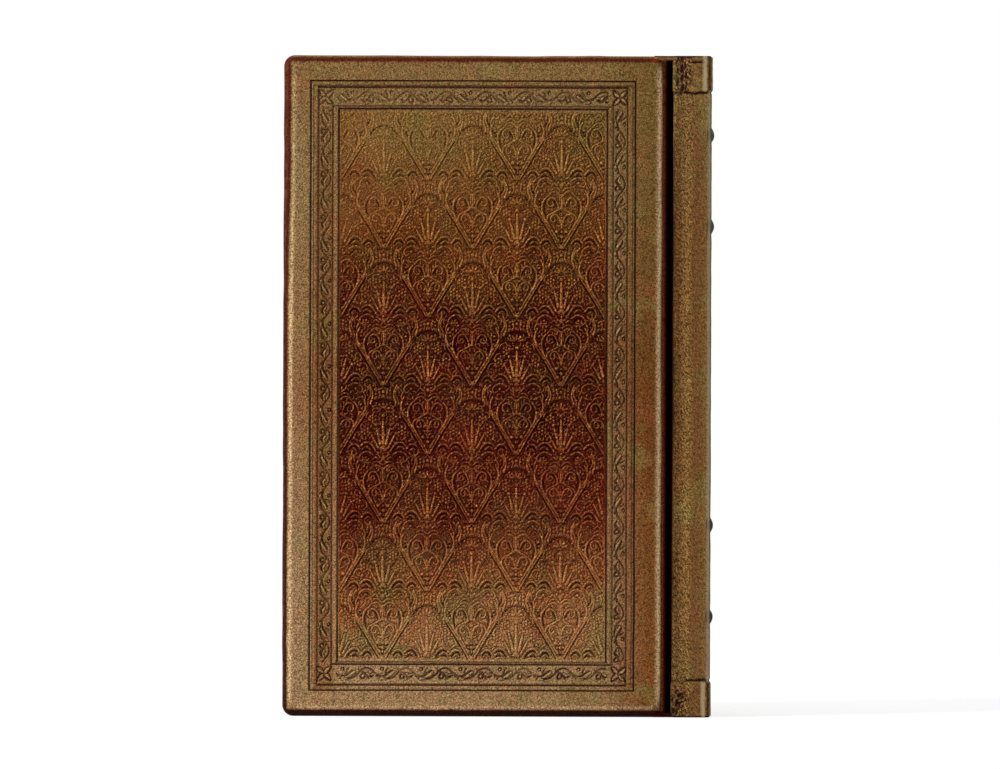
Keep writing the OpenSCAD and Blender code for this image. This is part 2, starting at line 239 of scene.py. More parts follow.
def vine(step):
    """One wave of the running vine from trough to trough: its raised parts, and its incised strokes."""
    k = step / 10.35
    m = lambda pts: [(a * k, b * 0.97) for a, b in pts]
    wave = [(0.0, 1.3), (1.35, 1.6), (2.3, 2.4), (2.9, 3.1), (3.5, 3.7), (4.4, 4.1), (5.4, 4.0), (6.4, 3.4),
            (7.5, 2.35), (8.8, 1.6), (10.35, 1.3)]
    cut = [curve(m(wave), 0.75, 0.4),
           curve(m([(-2.7, 2.1), (-1.9, 1.85), (-1.1, 1.9), (-0.4, 2.35), (0.3, 2.95), (1.1, 3.5)]), 0.95, 0.5),
           curve(m([(-1.9, 4.1), (-1.45, 4.3), (-1.05, 4.0), (-1.3, 3.6)]), 0.3, 0.3),
           curve(m([(0.1, 4.15), (-0.3, 3.6), (-0.5, 2.95)]), 0.4, 0.55),
           curve(m([(3.5, 3.15), (4.2, 2.7), (4.8, 2.0), (5.45, 1.4), (6.1, 1.9)]), 0.7, 0.85),
           curve(m([(3.75, 2.75), (3.2, 2.1), (3.35, 1.35), (4.0, 1.25), (4.3, 1.75)]), 0.5, 0.6),
           curve(m([(2.65, 4.05), (2.8, 3.5)]), 0.3, 0.2), dot(*m([(8.1, 1.25)])[0], 0.2)]
    leaf = [curve(m([(-1.5, 1.3), (-0.3, 1.55), (0.6, 2.3), (1.5, 3.0)]), 0.9, 0.4),
            curve(m([(5.0, 2.6), (5.7, 2.1), (6.4, 2.4)]), 0.5, 0.4),
            dot(*m([(3.8, 1.9)])[0], 0.26), dot(*m([(-1.5, 3.85)])[0], 0.16)]
    return leaf, cut + [c + [step, 0, 0] for c in cut[1:2]]


def corner_leaves():
    """Four pointed petals about the middle of a border corner, and the strokes that part them."""
    leaf, cut = [dot(0, 0, 0.2)], []
    for q in (45, 135, 225, 315):
        u, v = math.cos(math.radians(q)), math.sin(math.radians(q))
        at = lambda a, b: (a * u - b * v, a * v + b * u)
        leaf.append(curve([at(0.6, 0.12), at(1.4, 0.22), at(2.3, 0.05)], 0.8, 0.3))
        cut.append(curve([at(0.15, -0.3), at(0.9, -0.55), at(1.7, -0.5), at(2.5, -0.05)], 0.45, 0.65))
        cut.append(curve([at(0.5, 0.5), at(1.4, 0.75), at(2.2, 0.4)], 0.3, 0.22))
    return leaf, cut


def fillers(stamps, lift):
    """Small commas in the empty ground between the strokes of one repeat, the same on both sides."""
    r = np.random.default_rng(19)
    stamp = Stamp([dot(0, 0, -1.0)], CW, CH)
    for _ in range(2600):
        x, z = r.uniform(0.2, CW / 2 - 0.2), r.uniform(0, CH)
        if min(s.at(np.array([x]), np.array([z]))[0] for s in (*stamps, stamp)) < lift:
            continue
        a = r.uniform(0.2, math.pi - 0.2)
        n = 0.42
        bend = r.choice([-1, 1]) * 0.28
        pts = [(x - n * math.cos(a), z - n * math.sin(a)), (x - bend * math.sin(a), z + bend * math.cos(a)),
               (x + n * math.cos(a), z + n * math.sin(a))]
        c = curve(pts, 0.34, 0.16)
        m = c * [-1, 1, 1] + [CW, 0, 0]
        stamp.press(np.vstack([c, m]))
    return stamp


class Stamp:
    """Distance from the edge of the nearest stroke, in mm, over one repeat of a pattern."""

    def __init__(self, strokes, wide, high, repeat_x=True, repeat_z=True, px=0.05, reach=0.6):
        self.n, self.m = int(round(wide / px)), int(round(high / px))
        self.ax, self.az = wide / self.n, high / self.m
        self.D = np.full((self.n, self.m), 2.0)
        self.px, self.reach, self.repeat = px, reach, (repeat_x, repeat_z)
        self.press(np.vstack(strokes))

    def press(self, s):
        repeat_x, repeat_z = self.repeat
        k = int(self.reach / self.px) + 1
        ci, cj = np.round(s[:, 0] / self.ax).astype(int), np.round(s[:, 1] / self.az).astype(int)
        for di in range(-k, k + 1):
            for dj in range(-k, k + 1):
                if di * di + dj * dj > k * k:
                    continue
                i, j = ci + di, cj + dj
                d = np.hypot(i * self.ax - s[:, 0], j * self.az - s[:, 1]) - s[:, 2]
                ok = np.ones(len(i), bool)
                if not repeat_x:
                    ok &= (i >= 0) & (i < self.n)
                if not repeat_z:
                    ok &= (j >= 0) & (j < self.m)
                np.minimum.at(self.D, (i[ok] % self.n, j[ok] % self.m), d[ok])

    def at(self, x, z):
        u, v = x / self.ax, z / self.az
        i, j = np.floor(u).astype(int), np.floor(v).astype(int)
        f, g = u - i, v - j
        D, n, m = self.D, self.n, self.m
        return ((D[i % n, j % m] * (1 - f) + D[(i + 1) % n, j % m] * f) * (1 - g)
                + (D[i % n, (j + 1) % m] * (1 - f) + D[(i + 1) % n, (j + 1) % m] * f) * g)


PX = 0.19                                   # one face of the tooled grid
EDGE = MARGIN - 0.6                         # where that grid starts, in from the cover's edges
NX, NZ = int(round((W - 2 * EDGE) / PX)), int(round((H - 2 * EDGE) / PX))
gx = np.linspace(X0 + EDGE, X1 - EDGE, NX + 1)
gz = np.linspace(EDGE, H - EDGE, NZ + 1)
GX, GZ = np.meshgrid(gx, gz, indexing="ij")


def repeated(half):
    """The stamp of one repeat, from its right half: mirrored, and again half a repeat on."""
    both = half + [h * [-1, 1, 1] for h in half]
    return Stamp(both + [h + [CW / 2, CH / 2, 0] for h in both], CW, CH)


lattice, leaders = (repeated(strokes) for strokes in ogee())
stem_lines = Stamp(stems(), CW, CH)
dashes = repeated(bold_cuts() + [curve([(-1.6, -0.2), (1.6, -0.2)], 0.3, 0.3)])
small = fillers((lattice, stem_lines, dashes), 0.5)
MIDDLE = BORDER_IN + BORDER / 2
SHORT, LONG = W - 2 * MIDDLE - BORDER, H - 2 * MIDDLE - BORDER
# frame lines: distance in from the fore-edge, hinge, tail and head, depth on those sides, width, and wear
LINES = [((7.3, 7.3, 6.95, 6.85), (1.0, 1.0, 0.95, 1.1), 0.44, 0.0),
         ((8.1, 7.95, 8.62, 8.14), (0.45, 0.45, 0.5, 0.6), 0.30, 0.0),
         ((9.36, 9.36, 8.33, 8.6), (0.55, 0.65, 1.0, 1.0), 0.46, 0.2),
         ((13.15, 13.1, 13.82, 13.6), (0.7, 0.6, 1.05, 0.6), 0.45, 0.3),
         ((14.67, 14.67, 14.4, 14.3), (1.0, 1.0, 0.55, 1.1), 0.48, 0.3)]
runs = {}
for length, waves in ((SHORT, 7), (LONG, 13)):
    runs[length] = [Stamp(kind, length / waves, BORDER, repeat_z=False) for kind in vine(length / waves)]
corner = [Stamp([v + [BORDER / 2, BORDER / 2, 0] for v in kind], BORDER, BORDER, False, False)
          for kind in corner_leaves()]


def tooling(x, z):
    """Distances to the ornament's strokes, stems and cuts, the frame lines' depth and stain, how far
    inside the edge, and how boldly a stroke is drawn."""
    rx, rz = x - X0, z
    inn = np.minimum(np.minimum(rx, W - rx), np.minimum(rz, H - rz))
    wx = 0.07 * value_noise(x, z, 5.0, 61)
    wz = 0.07 * value_noise(x, z, 5.0, 62)
    at = rx - PANEL + CW / 2 + wx, rz - PANEL + wz
    # the small commas are pressed well in the middle of the panel and hardly at its ends
    faint = 0.40 * smooth(0.36, 0.12, rz / H) + 0.34 * smooth(0.66, 0.92, rz / H)
    inside = inn > PANEL + 0.35
    d = np.where(inside, np.minimum(lattice.at(*at), small.at(*at) + faint), 2.0)
    stem = np.where(inside, stem_lines.at(*at), 2.0)
    lead = 0.68 + 0.32 * smooth(0.25, -0.02, np.where(inside, leaders.at(*at), 0.0))
    cuts = np.where(inn > PANEL + 0.6, dashes.at(*at), 2.0)
    # each side of the border in its own frame: a along the side, b across it, and where its first trough lies
    u, v = x - X0 - W / 2, z - H / 2
    for length, a, b, far, first in ((SHORT, u, v, -H / 2 + MIDDLE, 3.9), (SHORT, -u, v, H / 2 - MIDDLE, 7.4),
                                     (LONG, -v, u, -W / 2 + MIDDLE, 2.4), (LONG, v, u, W / 2 - MIDDLE, 8.5)):
        on = (np.abs(a) < length / 2) & (np.abs(b - far) < BORDER / 2)
        squeeze = 1.15 if length == LONG else 1.0
        where = a + length / 2 - first + wx, np.clip((b - far) * squeeze + BORDER / 2, 0.01, BORDER - 0.1)
        end = 1.2 * np.clip(np.abs(a) - length / 2 + 0.7, 0, 1)
        d = np.where(on, runs[length][0].at(*where) + end, d)
        cuts = np.where(on, runs[length][1].at(*where) + end, cuts)
    cu, cv = np.abs(u) - (W / 2 - MIDDLE), np.abs(v) - (H / 2 - MIDDLE)
    on = (np.abs(cu) < BORDER / 2) & (np.abs(cv) < BORDER / 2)
    where = np.clip(cu + BORDER / 2, 0, BORDER - 0.06), np.clip(cv + BORDER / 2, 0, BORDER - 0.06)
    d = np.where(on, corner[0].at(*where), d)
    cuts = np.where(on, corner[1].at(*where), cuts)
    wob = 0.05 * value_noise(x, z, 9.0, 3)
    lines, darkening = np.zeros(x.shape), np.zeros(x.shape)
    left = smooth(0.5, -0.5, rx - inn) * smooth(4.0, 12.0, np.minimum(rz, H - rz) - INLINE)
    for (fore, hinge, tail, head), depths, wide, fraction in LINES:
        sides = np.stack([fore - rx, rx - (W - hinge), tail - rz, rz - (H - head)])
        q = np.abs(sides.max(0) - wob) - wide / 2
        deep = np.choose(sides.argmax(0), depths) * (1 - fraction * left)
        lines = np.maximum(lines, deep * smooth(0.10, -0.16, q))
        darkening = np.maximum(darkening, np.minimum(deep, 1) * smooth(0.12, -0.08, q))
    return d, stem, cuts, lines, darkening, inn, lead


def relief(x, z):
    """Height of the cover's face, with the fields ridge, frame lines, strokes, hollow and panel."""
    D, stem, cuts, lines, line_dye, inn, lead = tooling(x, z)
    panel = smooth(PANEL - 0.3, PANEL + 0.1, inn)
    border = smooth(BORDER_IN, BORDER_IN + 0.5, inn) * smooth(INLINE - 0.1, INLINE - 0.6, inn)
    on = panel + border
    # worn flat towards the fore-edge's head, and uneven everywhere
    weak = smooth(85, 18, np.hypot((x - X0 - 8) * 0.9, H - 8 - z))
    press = (0.85 + 0.35 * value_noise(x, z, 11.0, 5)) * (1 - 0.5 * weak)
    fine, broad = smooth(0.12, -0.12, D), 0.5 * smooth(0.14, -0.10, stem)
    ridge = np.maximum(fine, broad)
    hollow = np.maximum(bell(D - 0.22, 0.14), 0.75 * bell(stem - 0.16, 0.13) * (1 - fine))
    # dark stain in the hollows round the strokes, partly painted shade of the strokes
    darkening = np.maximum(bell(D - 0.26, 0.16), 0.85 * bell(stem - 0.18, 0.15) * (1 - fine))
    cut = np.maximum(lines, 0.9 * smooth(0.14, -0.08, cuts) * (0.5 + 0.5 * press))
    pressed = 0.85 + 0.45 * value_noise(x, z, 4.2, 71) * (1 - panel)
    # dark stain in the cut strokes, partly painted shade of the cuts
    stroke_stain_and_shade = smooth(0.12, -0.06, cuts) * (1 - 0.5 * weak) * pressed
    h = -0.16 * panel - 0.12 * border
    h = h + (0.17 * panel + 0.14 * border) * ridge * press
    h = h - 0.24 * hollow * on * press
    h = h - 0.42 * cut
    h = h + 0.02 * value_noise(x, z, 2.3, 8) * on - 0.02
    ridge_dye = np.maximum(fine * lead, 0.7 * broad) * on * (1 - 0.4 * weak)
    # the hollows' dark stain and painted shade, less where the tooling is worn flat
    hollow_stain_and_shade = darkening * on * (1 - 0.5 * weak)
    return np.minimum(h, 0) + undulate(x, z), ridge_dye, line_dye, stroke_stain_and_shade, hollow_stain_and_shade, panel


def undulate(x, z):
    """Slow unevenness of the leather, never outward of its plane."""
    return -0.05 + 0.03 * value_noise(x, z, 22.0, 11) + 0.02 * value_noise(x, z, 9.0, 12)


# ------------------------------------------------------------------ meshes
def linked(name, me, attrs):
    """The mesh as an object in the scene, with its vertex attributes."""
    for key, values in attrs.items():
        a = me.attributes.new(key, "FLOAT", "POINT")
        a.data.foreach_set("value", np.asarray(values, np.float32).ravel())
    obj = bpy.data.objects.new(name, me)
    bpy.context.scene.collection.objects.link(obj)
    return obj


def mesh_object(name, verts, quads, attrs, normals):
    """A smooth mesh: verts in mm, quads as an (n, 4) array."""
    me = bpy.data.meshes.new(name)
    verts = np.asarray(verts, np.float32) / 1000
    quads = np.asarray(quads, np.int32)
    me.vertices.add(len(verts))
    me.vertices.foreach_set("co", verts.ravel())
    me.loops.add(quads.size)
    me.loops.foreach_set("vertex_index", quads.ravel())
    me.polygons.add(len(quads))
    me.polygons.foreach_set("loop_start", np.arange(0, quads.size, 4, dtype=np.int32))
    me.polygons.foreach_set("loop_total", np.full(len(quads), 4, np.int32))
    me.polygons.foreach_set("use_smooth", np.ones(len(quads), bool))
    me.update(calc_edges=True)
    me.normals_split_custom_set_from_vertices(np.asarray(normals, float))
    return linked(name, me, attrs)


def grid_quads(n, m, keep):
    """The kept faces of a grid of n by m points."""
    i, j = np.meshgrid(np.arange(n - 1), np.arange(m - 1), indexing="ij")
    a = i * m + j
    return np.stack([a, a + m, a + m + 1, a + 1], -1)[keep]


def part_of(verts, quads, *others):
    """Only the vertices that the quads use, and what belongs to them."""
    used = np.unique(quads)
    back = np.full(len(verts), -1)
    back[used] = np.arange(len(used))
    return verts[used], back[quads], [o[used] for o in others]


def tooled_face():
    h, ridge, cut, strokes, hollow, panel = relief(GX, GZ)
    e = 0.06
    dx = (relief(GX + e, GZ)[0] - relief(GX - e, GZ)[0]) / (2 * e)
    dz = (relief(GX, GZ + e)[0] - relief(GX, GZ - e)[0]) / (2 * e)
    # painted shade on the slopes that face down and to the hinge, darkening the hollows and cut strokes, and painted
    # highlight on the ridges and stroke walls that face up and to the fore-edge
    shade_side = dz - dx
    hollow = np.clip(hollow * np.clip(0.65 + 0.85 * shade_side, 0.2, 1.3), 0, 1)
    cut = np.maximum(cut, np.clip(strokes * np.clip(0.75 + 0.6 * shade_side, 0.15, 1.3), 0, 1))
    ridge = np.clip(ridge * np.clip(0.85 - 0.45 * shade_side, 0.5, 1.3), 0, 1)
    ridge = np.maximum(ridge, 0.9 * strokes * np.clip(-shade_side - 0.1, 0, 1) * (1 - panel))
    verts = np.stack([GX, -(FACE + h), GZ], -1).reshape(-1, 3)
    nrm = np.stack([-dx, -np.ones_like(dx), -dz], -1)
    nrm /= np.linalg.norm(nrm, axis=-1, keepdims=True)
    nrm = nrm.reshape(-1, 3)
    cx, cz = (GX[:-1, :-1] + GX[1:, 1:]) / 2 - X0, (GZ[:-1, :-1] + GZ[1:, 1:]) / 2
    inside = (cx > PANEL) & (cx < W - PANEL) & (cz > PANEL) & (cz < H - PANEL)
    zones = {"tooled_border_lower": ~inside & (cz < H / 2), "tooled_border_upper": ~inside & (cz >= H / 2)}
    for k in range(4):
        zones[f"tooled_panel_{k + 1}"] = inside & (cz >= PANEL + k * CH) & (cz < PANEL + (k + 1) * CH)
    out = []
    for name, keep in zones.items():
        quads = grid_quads(len(gx), len(gz), keep)
        v, q, (n, a, b, c, d) = part_of(verts, quads, nrm,
                                        ridge.ravel(), cut.ravel(), hollow.ravel(), panel.ravel())
        out.append(mesh_object(name, v, q, {"ridge": a, "cut": b, "hollow": c, "panel": d}, n))
    return out


def outline(ins, radius, nx=44, nz=76, nc=8):
    """Points round a rounded rectangle inset by ins = (fore-edge, hinge, tail, head), less rounded at the hinge."""
    xa, xb, za, zb = X0 + ins[0], X1 - ins[1], ins[2], H - ins[3]
    r = max(radius, 1e-4)
    k = max(radius - 1.0, 1e-4)
    pts = []
    sides = [((xa + r, za), (xb - k, za), nx, (xb - k, za + k), -90, k),
             ((xb, za + k), (xb, zb - k), nz, (xb - k, zb - k), 0, k),
             ((xb - k, zb), (xa + r, zb), nx, (xa + r, zb - r), 90, r),
             ((xa, zb - r), (xa, za + r), nz, (xa + r, za + r), 180, r)]
    for p, q, n, c, a0, r in sides:
        for t in np.linspace(0, 1, n, endpoint=False):
            pts.append((p[0] + (q[0] - p[0]) * t, p[1] + (q[1] - p[1]) * t))
        for t in np.linspace(0, 1, nc, endpoint=False):
            a = math.radians(a0 + 90 * t)
            pts.append((c[0] + r * math.cos(a), c[1] + r * math.sin(a)))
    return np.array(pts)


def cover_shell(name, side, tooled):
    """Leather over a cover: face or margin, rounded edges and turn-ins. side is -1 for the face towards -Y."""
    R, ER, IR = 3.0, 1.9, 0.5       # corner, outer edge and inner edge rounding
    RIM, TURN_IN = 1.0, 11.0        # where the inner face starts, and how far the leather is turned in
    rings = []
    if tooled:
        face_in = [EDGE + 0.15, 5.6, 4.6, 3.9, 3.4, 3.0, 2.6, 2.25]
    else:
        face_in = [49.5, 44.0, 37.0, 30.0, 24.0, 18.0, 13.0, 9.0, 6.0, 4.2, 3.4, 3.0, 2.6, 2.25]
    for d in face_in:
        rings.append(([d] * 4, R - d, FACE, 0.0))
    for a in np.radians(np.linspace(0, 90, 11)):
        d = ER * (1 - math.sin(a))
        rings.append(([d] * 4, R - d, FACE - ER + ER * math.cos(a), 0.0))
    mid = (FACE - ER + INNER + IR) / 2
    rings.append(([0.0] * 4, R, mid, 1.0))
    for a in np.radians(np.linspace(0, 90, 5)):
        d = IR * (1 - math.cos(a))
        rings.append(([d] * 4, R - d, INNER + IR - IR * math.sin(a), 1.0))
    rings.append(([RIM] * 4, R - RIM, INNER, 0.6))
    for k in (0.25, 0.5, 0.75, 1.0):
        d = RIM + TURN_IN * k
        rings.append(([d, RIM, d, d], max(R - d, 0), INNER + 0.01 * k, 0.3))
    rings.append(([12.05, 1.05, 12.05, 12.05], 0, INNER + 0.42, 0.3))
    V, E, L = [], [], []
    for ins, r, w, e in rings:
        p = outline(ins, r)
        x, z = p[:, 0], p[:, 1]
        # the edges are a little worn and never quite straight
        near = 1.0 if w > FACE - ER - 1 and ins[0] < 2.5 else (0.6 if ins[0] < 2.5 else 0.0)
        edge_amount = near * (0.10 + 0.08 * value_noise(x + 2 * z, z, 17.0, 21 + side)
                       + 0.05 * value_noise(x, z, 5.0, 22))
        cx, cz = x - (X0 + W / 2), z - H / 2
        ax = np.clip((np.abs(cx) - (W / 2 - 6)) / 6, 0, 1)
        az = np.clip((np.abs(cz) - (H / 2 - 6)) / 6, 0, 1)
        x = x - np.sign(cx) * edge_amount * ax
        z = z - np.sign(cz) * edge_amount * az * np.where(cz < 0, 0.0, 1.0)
        ww = w + (undulate(x, z) * smooth(FACE - ER, FACE, w) if w > FACE - 1.0 else 0.0)
        if tooled and ins[0] > EDGE:
            ww = ww - 0.02
        V.append(np.stack([x, side * ww * np.ones(len(x)), z], 1))
        # darkened edge, partly dark stain and partly painted shade of the rounding: how far in it lies and how wide
        # it is differs from side to side
        rel_x, rel_z = p[:, 0] - X0, p[:, 1]
        dist = np.stack([rel_x, W - rel_x, rel_z, H - rel_z])
        high = smooth(0.60, 0.86, rel_z / H)
        one = np.ones(len(p))
        at, wide = (np.stack([0.8 + 0.65 * high, -0.1 * one, 1.1 * one, 1.15 * one]),
                    np.array([[0.6], [0.5], [1.0], [0.72]]))
        if not tooled:
            at, wide = np.full((4, 1), 1.2), np.full((4, 1), 1.1)
        band = bell(dist - at, wide)
        glow = np.zeros(len(p))
        if tooled:
            # painted shade over the fore-edge's outer rounding and along the tail
            band[0] = np.maximum(band[0], 0.75 * smooth(at[0], at[0] - 0.5, dist[0]))
            band[2] = np.maximum(band[2], smooth(2.1, 1.45, dist[2]))
            # beside the dark band, painted highlight on the rounding of the fore-edge, hinge and tail
            along = smooth(1.5, 6, np.minimum(dist[2], dist[3]))
            glow = np.maximum.reduce([(1.0 - 0.5 * high) * along * bell(dist[0] - at[0] - 1.3, 0.5),
                                      along * bell(dist[1] - 0.8, 0.65),
                                      0.5 * smooth(2, 7, dist[0]) * bell(dist[2] - 2.5, 0.4)])
        else:
            # painted shade along the tail's edge
            band[2] = np.maximum(band[2], 0.9 * (dist[2] < 1.2))
        on_face = w > FACE - ER - 0.01
        E.append(band.max(0) if on_face else np.full(len(p), e))
        L.append(glow if on_face else np.zeros(len(p)))
    n = len(V[0])
    verts = np.vstack(V)
    quads = []
    for k in range(len(V) - 1):
        a = k * n + np.arange(n)
        b = k * n + (np.arange(n) + 1) % n
        quads.append(np.stack([a, a + n, b + n, b], 1))
    quads = np.vstack(quads)
    if not tooled:
        # close the middle of the plain face
        idx = np.arange(n)
        c = len(verts)
        verts = np.vstack([verts, [[X0 + W / 2, side * (FACE - 0.05), H / 2]]])
        E.append(np.zeros(1))
        L.append(np.zeros(1))
        b = (idx + 1) % n
        quads = np.vstack([quads, np.stack([idx, b, np.full(n, c), np.full(n, c)], 1)])
    if side > 0:
        quads = quads[:, ::-1]
    return poly_object(name, verts, quads, {"edge": np.concatenate(E), "light": np.concatenate(L)})


def poly_object(name, verts, quads, attrs, more=()):
    """Like mesh_object, but a quad may have two corners in one place, and more holds other faces."""
    me = bpy.data.meshes.new(name)
    faces = list(more)
    for q in quads.tolist():
        f = []
        for i in q:
            if i not in f:
                f.append(i)
        if len(f) > 2:
            faces.append(f)
    me.from_pydata((verts / 1000).tolist(), [], faces)
    me.polygons.foreach_set("use_smooth", np.ones(len(me.polygons), bool))
    me.update()
    return linked(name, me, attrs)


# ------------------------------------------------------------------ spine
TURN, TURN_STEP = 9.4, FACE - STRIP         # length and thickness of the doubled ends


def spine_shell():
    """Spine leather: strips, back, raised bands and the doubled, wrinkled ends."""
    r0, r1 = 0.8, 1.3
    def half(fine):
        path = [(XS, t, 0) for t in np.linspace(LEAF, STRIP - r0, 9, endpoint=False)]
        path += [(XS + r0 + r0 * math.cos(a), STRIP - r0 - r0 * math.sin(a), 1)
                 for a in np.radians(np.linspace(180, 270, 6, endpoint=False))]
        path += [(t, STRIP, 1) for t in np.linspace(XS + r0, XB - r1, fine, endpoint=False)]
        path += [(XB - r1 + r1 * math.cos(a), STRIP - r1 - r1 * math.sin(a), 2)
                 for a in np.radians(np.linspace(270, 360, 9, endpoint=False))]
        path += [(XB, t, 3) for t in np.linspace(STRIP - r1, 0, 17, endpoint=False)]
        return path
    path = [(x, -y, k) for x, y, k in half(60)] + [(XB, 0.0, 3)] + half(20)[::-1]
    px, py, kind = (np.array(c) for c in zip(*path))
    tx, ty = np.gradient(px), np.gradient(py)
    ln = np.hypot(tx, ty)
    nx, ny = ty / ln, -tx / ln
    flat = (kind == 1) & (np.abs(py) > STRIP - 1e-6)
    nx = np.where(kind == 3, 1.0, np.where(flat, 0.0, nx))
    ny = np.where(kind == 3, 0.0, np.where(flat, np.sign(py), ny))
    ends = np.concatenate([[0, 0.05, 0.15, 0.35, 0.6, 0.9], np.arange(1.2, 13, 0.3)])
    zs = set(np.round(np.concatenate([ends, H - ends, np.arange(13, H - 13, 1.6)]), 3))
    for b in BANDS:
        zs |= set(np.round(b + np.linspace(-2.6, 2.6, 21), 3))
    zs = np.array(sorted(zs))
    across = np.abs(py)
    on_strip, on_back = kind == 1, kind >= 2
    rows, dark, light = [], [], []
    for z in zs:
        e, head = min(z, H - z), z > H / 2
        zz = np.full(len(px), z)
        end = TURN + 0.25 * value_noise(px + 3 * np.sign(py), zz * 0 + (7 if head else 2), 2.2, 33)
        ramp = smooth(end + 0.3, end - 0.3, e)
        line = bell(e - end - 0.4, 0.36) * (0.45 + 0.55 * smooth(XS + 2.5, XS + 5, px))
        scuff = bell(e - end, 1.1) * np.clip(value_noise(px, zz, 1.3, 44 + head), 0, 1) * on_strip
        disp = TURN_STEP * ramp - 0.24 * line - 0.8 * (1 - smooth(-0.15, 0.75, e)) ** 2
        crown = smooth(STRIP - 0.4, STRIP - 2.6, across)
        for b in BANDS:
            bump = np.clip(1 - ((z - b) / 2.05) ** 2, 0, 1) ** 1.2
            disp = disp + np.where(on_back, (XBAND - XB + 0.05) * bump * crown, 0)
            disp = disp - np.where(on_back, 0.16 * bell(abs(z - b) - 2.4, 0.45) * crown, 0)
        # folds beside the spine's edge, and wrinkles where the doubled leather goes into the groove
        fold = bell(px - (XB - 1.9), 0.52) * on_strip
        beside = bell(px - (XB - 0.75), 0.42) * (kind >= 1) * (across > STRIP - 1.2)
        disp = disp - 0.16 * ramp * bell(px - (XB - 2.75), 0.3) * on_strip - 0.20 * ramp * beside
        wob = 0.5 * value_noise(px * 0 + 5, zz, 1.9, 35 + head) + 0.25 * value_noise(px, zz, 1.1, 36)
        lean = wob if head else 0.42 * (e - 6.2) + wob
        wr = np.zeros(len(px))
        for at, deep, wide in ((2.3, 1.3, 0.46), (1.1, 0.9, 0.30), (3.3, 0.9, 0.30), (4.3, 0.55, 0.22)):
            wr = np.maximum(wr, deep * bell(px - XS - at - lean, wide))
        wr = wr * on_strip * (smooth(11.0, 8.0, e) if head else smooth(8.0, 5.5, e)) * (
            0.62 + 0.38 * np.sin(2.3 * e + 1.7 * px))
        # small creases that fan out from them
        rays = np.sin(5.2 * (e - 0.55 * (px - XS)) + 2.2 * value_noise(px, zz, 2.0, 51 + head))
        rays = smooth(0.55, 0.98, rays) * bell(px - XS - 3.2, 1.9) * smooth(9.0, 6.5, e) * on_strip
        tuck = (bell(e - 1.7, 0.30) * smooth(XS + 4.2, XS + 5.4, px) * smooth(XB - 1.2, XB - 2.0, px)
                * on_strip * head)
        disp = disp - 0.22 * wr - 0.14 * tuck - 0.07 * rays
        disp = (disp - 0.045 * (1 + value_noise(px + py, zz, 4.0, 31))
                - 0.02 * (1 + value_noise(px + py, zz, 1.3, 32)))
        disp = np.where(kind == 0, disp * smooth(STRIP - 2.4, STRIP - 0.9, across), disp)
        disp = np.minimum(disp, np.where(on_back, XBAND - XB - 0.01, TURN_STEP))
        rows.append(np.stack([px + nx * disp, py + ny * disp, zz], 1))
        # painted shade: the strip's side into the groove, beside the spine's edge and along the edge of the turned
        # ends, in their wrinkles, tuck and creases, at the head and tail contour, along the spine's corner and
        # beside the raised bands, which also darken towards the spine's corners; the scuffs are wear
        low = smooth(STRIP - 0.9, STRIP - 2.6, across) * (kind == 0)
        rim = bell(px - (XB - 0.05), 0.22) * on_back * (across > STRIP - 1.3)
        brim = 1 - smooth(0.12, 0.62, e)
        d = low + 0.62 * ramp * beside + 1.1 * (line + wr) + 0.95 * tuck + 0.9 * rays + 0.6 * scuff
        d = d + brim + rim * (1 - ramp)
        for b in BANDS:
            d = d + 0.6 * bell(abs(z - b) - 2.4, 0.55) * crown * on_back
            d = d + 0.9 * bell(z - b, 2.0) * smooth(STRIP - 5.5, STRIP - 3, across) * on_back
        dark.append(np.clip(d, 0, 1))
        # painted highlight on the fold of the turned ends, along the spine's edge and on the crowns of the raised
        # bands
        glow = 1.1 * ramp * fold + (
            0.6 * ramp * smooth(XB - 0.35, XB - 0.1, px) * (across > STRIP - 1.6) * (kind >= 1))
        glow = glow + 0.95 * (1 - ramp) * bell(px - (XB - 0.68), 0.42) * (kind >= 1) * (across > STRIP - 1.2)
        for b in BANDS:
            glow = glow + 0.7 * bell(z - b, 1.0) * smooth(STRIP - 3, STRIP - 6, across) * on_back
        light.append(np.clip(glow, 0, 1))
    n, m = len(px), len(zs)
    outer = np.vstack(rows)
    ix = np.where(kind <= 1, np.interp(px, [XS, XB], [XS, XP]), XP)
    iy = np.where(kind == 0, np.sign(py) * LEAF, np.clip(py, -LEAF, LEAF))
    ix = np.where(kind == 0, XS, ix)
    base = len(outer)
    inner = np.vstack([np.stack([ix, iy, np.full(n, z)], 1) for z in (zs[0], zs[-1])])
    i, j = np.meshgrid(np.arange(m - 1), np.arange(n - 1), indexing="ij")
    a = (i * n + j).ravel()
    o = np.arange(n - 1)
    top = (m - 1) * n
    quads = np.vstack([np.stack([a, a + 1, a + n + 1, a + n], 1),
                       np.stack([base + o + 1, base + o, base + n + o, base + n + o + 1], 1),
                       np.stack([o + 1, o, base + o, base + o + 1], 1),
                       np.stack([top + o, top + o + 1, base + n + o + 1, base + n + o], 1)])
    walls = [[base, base + n] + [r * n for r in range(m - 1, -1, -1)],
             [base + 2 * n - 1, base + n - 1] + [r * n + n - 1 for r in range(m)]]
    dark = np.concatenate([np.concatenate(dark), np.ones(2 * n)])
    light = np.concatenate([np.concatenate(light), np.zeros(2 * n)])
    return poly_object("spine_leather_dressed", np.vstack([outer, inner]), quads,
                       {"edge": dark, "light": light}, walls)


